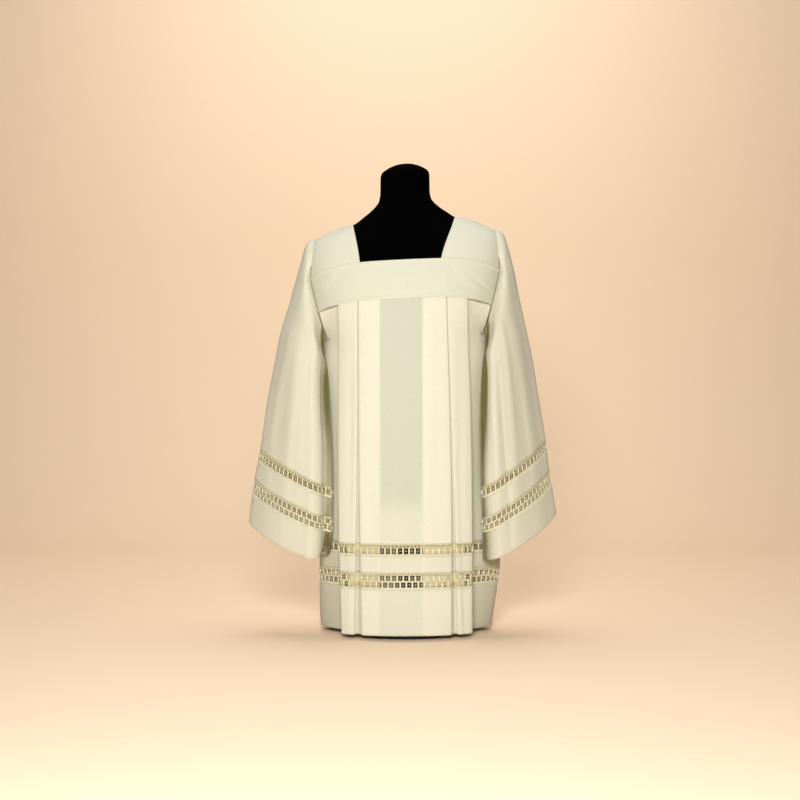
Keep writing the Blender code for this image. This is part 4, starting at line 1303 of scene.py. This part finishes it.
# Sizes of the finishes' patterns as they are drawn, in metres
THREAD_DRAWN = 0.0012083    # lawn has a thread every 0.3 mm, too fine to show, so drawn coarser
TWIST_DRAWN = 0.0011111     # lace thread turns every 0.5 mm, too fine to show, so drawn coarser
NAP_DRAWN = 0.0014286       # jersey has a stitch every 0.8 mm, too fine to show, so drawn coarser
CRUMPLE_DRAWN = 0.0454545   # what washing leaves in cloth: soft unevenness every 45 mm
BLOTCH_DRAWN = 0.0038462    # thicker and thinner yarn, from 4 mm to 4 mm
WAVE_BAND = 2 * math.pi / 20    # the wave texture's own band, at a scale of 1


def cotton_cloth(name, settings):
    """Cotton lawn, plain woven and washed: matt, a little uneven from thread to thread.
    It is thin: where the attribute "behind" is below zero its colour goes towards a dark olive, painted
    shade, and one that lies on the dark form greys (above zero), a grey kept fainter below the form as painted
    shade."""
    material, tree = new_finish(name)
    place = add_node(tree, "ShaderNodeUVMap", uv_map="weave").outputs["UV"]
    wave = {"Scale": WAVE_BAND / settings.weave_size, "Distortion": 0.6, "Detail": 1.0, "Detail Scale": 40.0}
    weft, warp = [add_node(tree, "ShaderNodeTexWave", wave, {"Vector": place}, wave_type="BANDS",
                           bands_direction=way, wave_profile="SIN").outputs["Fac"] for way in ("X", "Y")]
    threads = add_node(tree, "ShaderNodeMath", links={0: weft, 1: warp}, operation="MAXIMUM")
    fine = add_node(tree, "ShaderNodeBump", {"Strength": 0.35, "Distance": 0.00018},
                    {"Height": threads.outputs["Value"]})
    body = add_node(tree, "ShaderNodeTexCoord").outputs["Object"]
    crumple = add_node(tree, "ShaderNodeTexNoise", {"Scale": 1 / CRUMPLE_DRAWN, "Detail": 3.0}, {"Vector": body})
    broad = add_node(tree, "ShaderNodeBump", {"Strength": 0.22, "Distance": 0.004},
                     {"Height": crumple.outputs["Fac"], "Normal": fine.outputs["Normal"]})
    blotch = add_node(tree, "ShaderNodeTexNoise", {"Scale": 1 / BLOTCH_DRAWN, "Detail": 2.0, "Roughness": 0.6},
                      {"Vector": body})
    tone = add_node(tree, "ShaderNodeMapRange",
                    {"From Min": 0.3, "From Max": 0.7, "To Min": 0.965, "To Max": 1.02},
                    {"Value": blotch.outputs["Fac"]})
    behind = add_node(tree, "ShaderNodeAttribute", attribute_name="behind",
                      attribute_type="GEOMETRY").outputs["Fac"]
    # painted shade: below zero the cloth's colour is mixed towards the dark olive
    shade_share = add_node(tree, "ShaderNodeMapRange",
                     {"From Min": -1.0, "From Max": 0.0, "To Min": 1.0, "To Max": 0.0}, {"Value": behind})
    shaded_cloth = add_node(tree, "ShaderNodeMixRGB",
                      {"Color1": paint(settings.cloth_colour), "Color2": paint(settings.painted_shade_colour)},
                      {"Fac": shade_share.outputs["Result"]})
    through = add_node(tree, "ShaderNodeMapRange", {"To Max": 0.30}, {"Value": behind})
    greyed = add_node(tree, "ShaderNodeMixRGB", {"Color2": paint(settings.shown_through_and_shade_colour)},
                      {"Fac": through.outputs["Result"], "Color1": shaded_cloth.outputs["Color"]})
    toned = add_node(tree, "ShaderNodeMixRGB", {"Fac": 1.0},
                     {"Color1": greyed.outputs["Color"], "Color2": tone.outputs["Result"]},
                     blend_type="MULTIPLY").outputs["Color"]
    matt = {"Roughness": 0.84, "Specular IOR Level": 0.2, "Sheen Weight": 0.06, "Sheen Roughness": 0.5}
    surface = add_node(tree, "ShaderNodeBsdfPrincipled", matt,
                       {"Base Color": toned, "Normal": broad.outputs["Normal"]})
    passed = add_node(tree, "ShaderNodeBsdfTranslucent", links={"Color": toned})
    cloth = add_node(tree, "ShaderNodeMixShader", {"Fac": 0.16},
                     {1: surface.outputs["BSDF"], 2: passed.outputs["BSDF"]})
    add_node(tree, "ShaderNodeOutputMaterial", links={"Surface": cloth.outputs["Shader"]})
    return material


def lace_thread(name, settings):
    """Cotton lace thread, twisted: matt and softly ribbed. Its bars and cords take the thread's pale
    colour; its close open-work is painted darker, as painted shade of the unlit inside seen through its
    fine holes, and its hidden layers are painted a shade between; "behind" runs from 0 to 1 through the three."""
    material, tree = new_finish(name)
    body = add_node(tree, "ShaderNodeTexCoord").outputs["Object"]
    twist = add_node(tree, "ShaderNodeTexNoise", {"Scale": 1 / TWIST_DRAWN, "Detail": 2.0}, {"Vector": body})
    rib = add_node(tree, "ShaderNodeBump", {"Strength": 0.4, "Distance": 0.0003},
                   {"Height": twist.outputs["Fac"]})
    part = add_node(tree, "ShaderNodeAttribute", attribute_name="behind",
                    attribute_type="GEOMETRY").outputs["Fac"]
    first = add_node(tree, "ShaderNodeMapRange", {"From Min": 0.0, "From Max": 0.5}, {"Value": part})
    second = add_node(tree, "ShaderNodeMapRange", {"From Min": 0.5, "From Max": 1.0}, {"Value": part})
    shown = add_node(tree, "ShaderNodeMixRGB",
                     {"Color1": paint(settings.thread_colour), "Color2": paint(settings.close_work_painted_shade_colour)},
                     {"Fac": first.outputs["Result"]})
    colour = add_node(tree, "ShaderNodeMixRGB", {"Color2": paint(settings.hidden_lace_painted_shade_colour)},
                      {"Fac": second.outputs["Result"], "Color1": shown.outputs["Color"]})
    surface = add_node(tree, "ShaderNodeBsdfPrincipled", {"Roughness": 0.86, "Specular IOR Level": 0.2},
                       {"Base Color": colour.outputs["Color"], "Normal": rib.outputs["Normal"]})
    add_node(tree, "ShaderNodeOutputMaterial", links={"Surface": surface.outputs["BSDF"]})
    return material


def knitted_jersey(name, colour):
    """Black cotton jersey stretched over the form: deep matt black with a soft nap."""
    material, tree = new_finish(name)
    body = add_node(tree, "ShaderNodeTexCoord").outputs["Object"]
    nap = add_node(tree, "ShaderNodeTexNoise", {"Scale": 1 / NAP_DRAWN, "Detail": 2.0}, {"Vector": body})
    knit = add_node(tree, "ShaderNodeBump", {"Strength": 0.25, "Distance": 0.0003},
                    {"Height": nap.outputs["Fac"]})
    surface = add_node(tree, "ShaderNodeBsdfPrincipled",
                       {"Base Color": paint(colour), "Roughness": 0.95, "Specular IOR Level": 0.01},
                       {"Normal": knit.outputs["Normal"]})
    add_node(tree, "ShaderNodeOutputMaterial", links={"Surface": surface.outputs["BSDF"]})
    return material


def plain_finish(name, colour, roughness, specular):
    """A plain finish with one colour and one roughness."""
    material, tree = new_finish(name)
    surface = add_node(tree, "ShaderNodeBsdfPrincipled",
                       {"Base Color": paint(colour), "Roughness": roughness, "Specular IOR Level": specular})
    add_node(tree, "ShaderNodeOutputMaterial", links={"Surface": surface.outputs["BSDF"]})
    return material


FINISHES = {}


def new_material(name):
    settings, studio = bpy.context.scene.surplice, bpy.context.scene.surplice_studio
    if name == "cotton_lawn":
        return cotton_cloth(name, settings)
    if name == "cotton_lace":
        return lace_thread(name, settings)
    if name == "black_jersey":
        return knitted_jersey(name, studio.form_colour)
    if name == "sewing_cotton":
        # Spun cotton thread, as pale as the lace's cords and matt: stitches show by their shade
        return plain_finish(name, settings.thread_colour, 0.86, 0.2)
    if name == "painted_steel":
        # Satin black paint on steel: a soft, broad shine on the base's rim and down the pole
        return plain_finish(name, studio.stand_colour, 0.38, 0.5)
    # Matt seamless paper: no shine and no horizon, only the piece's soft shadow
    return plain_finish(name, studio.backdrop_colour, 0.95, 0.1)


def finish(name):
    """The material of that name, made when it is first asked for."""
    if name not in FINISHES:
        FINISHES[name] = new_material(name)
    return FINISHES[name]


# Pieces

def heights_between(top, bottom, step):
    count = max(int(round((top - bottom) / step)), 1)
    return list(np.linspace(top, bottom, count + 1))


def build_torso():
    rings = [oval(FORM.at("half_width", z), FORM.at("half_depth", z), FORM.at("fullness", z), z)
             for stretch in FORM_ROWS for z in np.linspace(*stretch)]
    rings += [oval(FORM_CAP.at("half_width", z), FORM_CAP.at("half_depth", z), 2.0, z)
              for z in np.linspace(*FORM_CAP_ROWS)]
    points, faces = closed_turning([leaned(ring) for ring in rings])
    item = mesh_object("form_torso_jersey", points, faces, finish("black_jersey"))
    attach(item, "root")
    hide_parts("dress_form_torso")


def build_stand():
    turn = 2 * np.pi * np.arange(STAND_SIDES) / STAND_SIDES
    rings = [np.stack((np.cos(turn) * r, np.sin(turn) * r, np.full(STAND_SIDES, z)), axis=1)
             for r, z in STAND_PROFILE]
    points, faces = closed_turning(rings)
    item = mesh_object("form_stand_steel", points, faces, finish("painted_steel"))
    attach(item, "root")
    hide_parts("dress_form_stand")


def seam_ridge(grid, from_row, rise, spread, closed=False):
    """Raises the rows nearest an edge of a grid, as where cloth is folded in under a seam."""
    normals = grid_normals(grid, closed)
    places = running(np.linalg.norm(np.diff(grid, axis=0), axis=2).mean(axis=1))
    apart = places if from_row == 0 else places[-1] - places
    lift = rise * (1 - smoothstep((apart - spread) / (spread * 0.6)))
    return grid + normals * lift[:, None, None]


def edge_heights(top, bottom, step):
    """Heights between two edges, closer together beside both of them."""
    ends = [EDGE_ROW * i for i in range(EDGE_ROWS)]
    middle = heights_between(top - EDGE_ROW * EDGE_ROWS, bottom + EDGE_ROW * EDGE_ROWS, step)
    return [top - e for e in ends] + middle + [bottom + e for e in reversed(ends)]


def build_yoke_band(part, behind):
    turn = -1 if behind else 1
    top = BACK_NECK if behind else FRONT_NECK
    steps = np.sin(np.pi / 2 * np.linspace(-1, 1, YOKE_COLUMNS))
    rows = []
    for z in edge_heights(top + YOKE_LAP, YOKE_SEAM - YOKE_LAP, ROW):
        x = armhole_x(z) * steps
        rows.append(np.column_stack((turn * x, -turn * body_curve(x, z), np.full(len(x), z))))
    grid = leaned(np.array(rows))
    push = np.zeros(grid.shape[:2])
    for across, slope, middle, reach, depth, spread in YOKE_CREASES[part]:
        apart = grid[:, :, 0] - across - (grid[:, :, 2] - middle) * slope
        push -= depth * np.exp(-(apart / spread) ** 2 - ((grid[:, :, 2] - middle) / reach) ** 2)
    grid = grid + grid_normals(grid) * push[:, :, None]
    grid = seam_ridge(grid, 0, YOKE_RIDGE, TOP_RIDGE)
    grid = seam_ridge(grid, -1, YOKE_RIDGE, BOTTOM_RIDGE)
    cloth_piece("yoke_band_" + part, grid, ["yoke_" + part], YOKE_SHOWN)
    wrap = Wrap(grid)
    for number, down in enumerate((YOKE_STITCHES["top"], wrap.length - YOKE_STITCHES["bottom"])):
        stitch_line("yoke_stitches_%s_%d" % (part, number), wrap, down, YOKE_MARGIN)


def build_strap(side):
    sign = -1 if side == "left" else 1
    air = SHOULDER_AIR + CLOTH / 2
    steps = np.linspace(0.0, 1.0, STRAP_COLUMNS_SHOWN)
    order = steps if side == "right" else steps[::-1]
    rows = []
    for share in np.linspace(1.0, 0.0, STRAP_ROWS_SHOWN):
        row = []
        for step in order:
            x = strap_x(side, share, math.sin(math.pi / 2 * step))
            point = shoulder_point(x, strap_angle(x, share), air)
            row.append((point[0] * sign, point[1], point[2]))
        rows.append(row)
    grid = leaned(rows)
    cloth_piece("yoke_strap_" + side, grid, ["yoke_shoulder_" + side], YOKE_SHOWN)


def build_panel(part, behind):
    bottom = UPPER_LACE_TOP + SEAM
    heights = edge_heights(YOKE_SEAM - SEAM, PANEL_NEAR_ARMHOLE[0] + 0.0035, ROW) + list(PANEL_NEAR_ARMHOLE)
    heights += heights_between(UNDERARM, bottom + ROW, PANEL_ROW) + [bottom + ROW / 2, bottom]
    grid = body_grid(heights, behind)
    cloth_piece("pleated_panel_" + part, grid, ["panel_" + part], body_shade_and_show_through(grid, behind))


def build_strip(part, behind):
    grid = body_grid(heights_between(UPPER_LACE_END - SEAM, LOWER_LACE_TOP + SEAM, ROW), behind)
    cloth_piece("plain_strip_" + part, grid, ["strip_" + part], body_shade_and_show_through(grid, behind) - STRIP_PAINTED_SHADE)


def build_hem(part, behind):
    grid = body_grid(heights_between(LOWER_LACE_END - SEAM, HEM + HEM_ROOM, HEM_ROW), behind)
    grid = turned_under(grid, HEM_TURN)
    cloth_piece("hem_band_shown_" + part, grid, ["hem_band_" + part], body_shade_and_show_through(grid, behind))
    wrap = Wrap(body_grid(heights_between(LOWER_LACE_END - SEAM, HEM + 0.02, HEM_ROW), behind))
    stitch_line("hem_stitches_" + part, wrap, HEM_STITCHES, HEM_MARGIN)


def body_stretches(columns):
    """The stretches of columns that show, where a body lace has openings."""
    middle, half = columns // 2, BENDS // 2
    right = [(middle + PANEL_START - half, middle + PANEL_STOP + half),
             (middle + PANEL_STOP + BENDS, middle + SIDE_STOP)]
    left = [(2 * middle - b, 2 * middle - a) for a, b in right]
    return sorted(left + [(middle - MIDDLE_STOP - half, middle + MIDDLE_STOP + half)] + right)


def build_body_laces(part, behind):
    for name, top, bottom, windows, node in (
        ("narrow_lace_", UPPER_LACE_TOP, UPPER_LACE_END, BODY_SINGLE, "lace_upper_"),
        ("wide_lace_", LOWER_LACE_TOP, LOWER_LACE_END, BODY_DOUBLE, "lace_lower_"),
    ):
        grid = body_grid(heights_between(top - SEAM, bottom + SEAM, ROW), behind)
        middle = Wrap(grid).width / 2
        lace_piece(name + part, grid, False, windows, body_stretches(grid.shape[1]), [node + part],
                   [middle + end for end in PLAIN_LACE])


def build_sleeve(side):
    ups = heights_between(SLEEVE_TOP, UPPER_BAND + SEAM, SLEEVE_ROW)
    grid = seam_ridge(sleeve_grid(side, ups), 0, -ARMHOLE_SINK, ARMHOLE_SINK_REACH, closed=True)
    cloth_piece("sleeve_cloth_" + side, grid, ["sleeve_" + side], sleeve_painted_shade(side, ups), closed=True)
    ups = heights_between(STRIP_BAND - SEAM, LOWER_BAND + SEAM, ROW)
    cloth_piece("sleeve_strip_cloth_" + side, sleeve_grid(side, ups), ["sleeve_strip_" + side],
                sleeve_painted_shade(side, ups), closed=True)
    ups = heights_between(CUFF_BAND - SEAM, HEM_ROOM, SLEEVE_ROW)
    grid = turned_under(sleeve_grid(side, ups), CUFF_TURN, closed=True)
    ups += [ups[-1]] * (len(grid) - len(ups))
    cloth_piece("cuff_cloth_" + side, grid, ["sleeve_cuff_" + side], sleeve_painted_shade(side, ups), closed=True)
    for name, top, bottom, windows, node in (
        ("sleeve_narrow_lace_", UPPER_BAND, STRIP_BAND, SLEEVE_SINGLE, "sleeve_lace_upper_"),
        ("sleeve_wide_lace_", LOWER_BAND, CUFF_BAND, SLEEVE_DOUBLE, "sleeve_lace_lower_"),
    ):
        grid = sleeve_grid(side, heights_between(top - SEAM, bottom + SEAM, ROW))
        nodes = [node + side + half for half in ("_front", "_back")]
        lace_piece(name + side, grid, True, windows, [(0, SLEEVE_COLUMNS)], nodes)


def build_studio():
    """Plain pale floor that curves up into a backdrop, soft light and the camera."""
    scene, settings = bpy.context.scene, bpy.context.scene.surplice_studio
    profile = [(-FLOOR_HALF, 0.0), (SWEEP_START, 0.0)]
    for turn in np.linspace(0.0, math.pi / 2, SWEEP_STEPS + 1)[1:]:
        profile.append((SWEEP_START + math.sin(turn) * SWEEP, SWEEP - math.cos(turn) * SWEEP))
    profile.append((SWEEP_START + SWEEP, BACKDROP_TOP))
    grid = np.array([[(x, y, z) for y, z in profile] for x in (-FLOOR_HALF, FLOOR_HALF)])
    faces = grid_faces(2, len(profile))
    floor = mesh_object("studio_floor", grid.reshape(-1, 3), faces, finish("studio_paper"))
    for name, place, aim, size, colour in LIGHTS:
        light = bpy.data.lights.new(name + "_light", "AREA")
        light.shape = "DISK"
        light.size = size
        light.energy = getattr(settings, name + "_power")
        light.color = colour
        lamp = bpy.data.objects.new(name + "_light", light)
        lamp.location = place
        lamp.rotation_euler = (Vector(aim) - Vector(place)).to_track_quat("-Z", "Y").to_euler()
        scene.collection.objects.link(lamp)
    scene.world = bpy.data.worlds.new("studio_air")
    scene.world.use_nodes = True
    air = scene.world.node_tree.nodes["Background"].inputs
    air["Color"].default_value = paint(AIR_COLOUR)
    air["Strength"].default_value = settings.air_light
    camera = bpy.data.cameras.new("camera")
    camera.sensor_width = 36.0
    camera.lens = settings.lens
    holder = bpy.data.objects.new("camera", camera)
    holder.location = CAMERA_PLACE
    holder.rotation_euler = (math.radians(90), 0.0, 0.0)
    scene.collection.objects.link(holder)
    scene.camera = holder
    scene.view_settings.view_transform = "Standard"


# Add-on

def colour_setting(name, description, colour):
    return FloatVectorProperty(name=name, description=description, subtype="COLOR", size=3,
                               default=linear(colour), min=0.0, max=1.0)


class SurpliceSettings(PropertyGroup):
    """Sizes and colours that a user may change."""

    cloth_thickness: FloatProperty(name="Cloth thickness", description="Thickness of the cloth as it is shown",
                                   default=0.0007, min=0.0002, max=0.0012, unit="LENGTH")
    weave_size: FloatProperty(name="Weave", description="Width of one drawn thread of the weave",
                              default=THREAD_DRAWN, min=0.0003, max=0.01, precision=4, unit="LENGTH")
    cloth_colour: colour_setting("Cloth", "Colour of the cotton cloth", "E7E4D0")
    # painted shade colour for the body's sides, pleat lines and strip and for the sleeves
    painted_shade_colour: colour_setting("Single layer", "Colour of one layer with the dark inside behind", "6F6636")
    # grey of the dark form showing through; below the form's lower end the same grey is painted shade
    shown_through_and_shade_colour: colour_setting("Shown through", "Colour of cloth with the dark form close behind", "7A9388")
    thread_colour: colour_setting("Thread", "Colour of the lace's bars and cords and of the sewing", "EAE6CF")
    # painted shade colour of the lace's close open-work
    close_work_painted_shade_colour: colour_setting("Lace", "Colour of the lace's close open-work", "BEB38A")
    # painted shade colour of the lace's hidden layers
    hidden_lace_painted_shade_colour: colour_setting("Lace behind lace", "Colour of the lace's hidden layers", "D3C9A2")


class StudioSettings(PropertyGroup):
    """The dress form's colours, the studio's light and the camera."""

    form_colour: colour_setting("Jersey", "Colour of the form's jersey", "020202")
    stand_colour: colour_setting("Stand", "Colour of the painted stand", "141414")
    backdrop_colour: colour_setting("Backdrop", "Colour of the floor and backdrop", "FBE1C4")
    key_power: FloatProperty(name="Key light", description="Power of the main light", default=86.0,
                             min=0.0, unit="POWER")
    fill_power: FloatProperty(name="Fill light", description="Power of the fill light", default=4.0,
                              min=0.0, unit="POWER")
    paper_power: FloatProperty(name="Backdrop light", description="Power of the light on the backdrop",
                               default=64.0, min=0.0, unit="POWER")
    air_light: FloatProperty(name="Air", description="Strength of the light from all round",
                             default=0.04, min=0.0)
    lens: FloatProperty(name="Lens", description="Focal length on a 36 mm sensor, in millimetres",
                        default=58.49, min=10.0)


class SURPLICE_OT_form(Operator):
    """Builds the jersey torso and the stand"""

    bl_idname = "surplice.form"
    bl_label = "Dress form"

    def execute(self, context):
        build_torso()
        build_stand()
        return {"FINISHED"}


class SURPLICE_OT_yoke(Operator):
    """Builds the yoke's bands and shoulder straps"""

    bl_idname = "surplice.yoke"
    bl_label = "Yoke"

    def execute(self, context):
        build_yoke_band("front", False)
        build_yoke_band("back", True)
        build_strap("left")
        build_strap("right")
        return {"FINISHED"}


class SURPLICE_OT_body(Operator):
    """Builds the pleated panels, the plain strips and the hem bands"""

    bl_idname = "surplice.body"
    bl_label = "Body"

    def execute(self, context):
        for part, behind in (("front", False), ("back", True)):
            build_panel(part, behind)
            build_strip(part, behind)
            build_hem(part, behind)
        return {"FINISHED"}


class SURPLICE_OT_lace(Operator):
    """Builds the narrow and the wide lace on the body"""

    bl_idname = "surplice.lace"
    bl_label = "Body lace"

    def execute(self, context):
        build_body_laces("front", False)
        build_body_laces("back", True)
        return {"FINISHED"}


class SURPLICE_OT_sleeves(Operator):
    """Builds both sleeves with their lace and cuffs"""

    bl_idname = "surplice.sleeves"
    bl_label = "Sleeves"

    def execute(self, context):
        build_sleeve("left")
        build_sleeve("right")
        return {"FINISHED"}


class SURPLICE_OT_studio(Operator):
    """Builds the floor, the lights and the camera"""

    bl_idname = "surplice.studio"
    bl_label = "Studio"

    def execute(self, context):
        build_studio()
        return {"FINISHED"}


STEPS = (
    SURPLICE_OT_form, SURPLICE_OT_yoke, SURPLICE_OT_body,
    SURPLICE_OT_lace, SURPLICE_OT_sleeves, SURPLICE_OT_studio,
)


class SURPLICE_PT_panel(Panel):
    """Lists the surplice's settings and the steps that build it"""

    bl_idname = "SURPLICE_PT_panel"
    bl_label = "Surplice"
    bl_space_type = "VIEW_3D"
    bl_region_type = "UI"
    bl_category = "Surplice"

    def draw(self, context):
        column = self.layout.column()
        for group in (context.scene.surplice, context.scene.surplice_studio):
            for name in group.__annotations__:
                column.prop(group, name)
        for step in STEPS:
            column.operator(step.bl_idname)


CLASSES = (SurpliceSettings, StudioSettings) + STEPS + (SURPLICE_PT_panel,)


def register():
    for each in CLASSES:
        bpy.utils.register_class(each)
    bpy.types.Scene.surplice = PointerProperty(type=SurpliceSettings)
    bpy.types.Scene.surplice_studio = PointerProperty(type=StudioSettings)


def unregister():
    del bpy.types.Scene.surplice_studio
    del bpy.types.Scene.surplice
    for each in reversed(CLASSES):
        bpy.utils.unregister_class(each)


def main():
    register()
    bpy.ops.surplice.form()
    bpy.ops.surplice.yoke()
    bpy.ops.surplice.body()
    bpy.ops.surplice.lace()
    bpy.ops.surplice.sleeves()
    bpy.ops.surplice.studio()


if __name__ == "__main__":
    main()
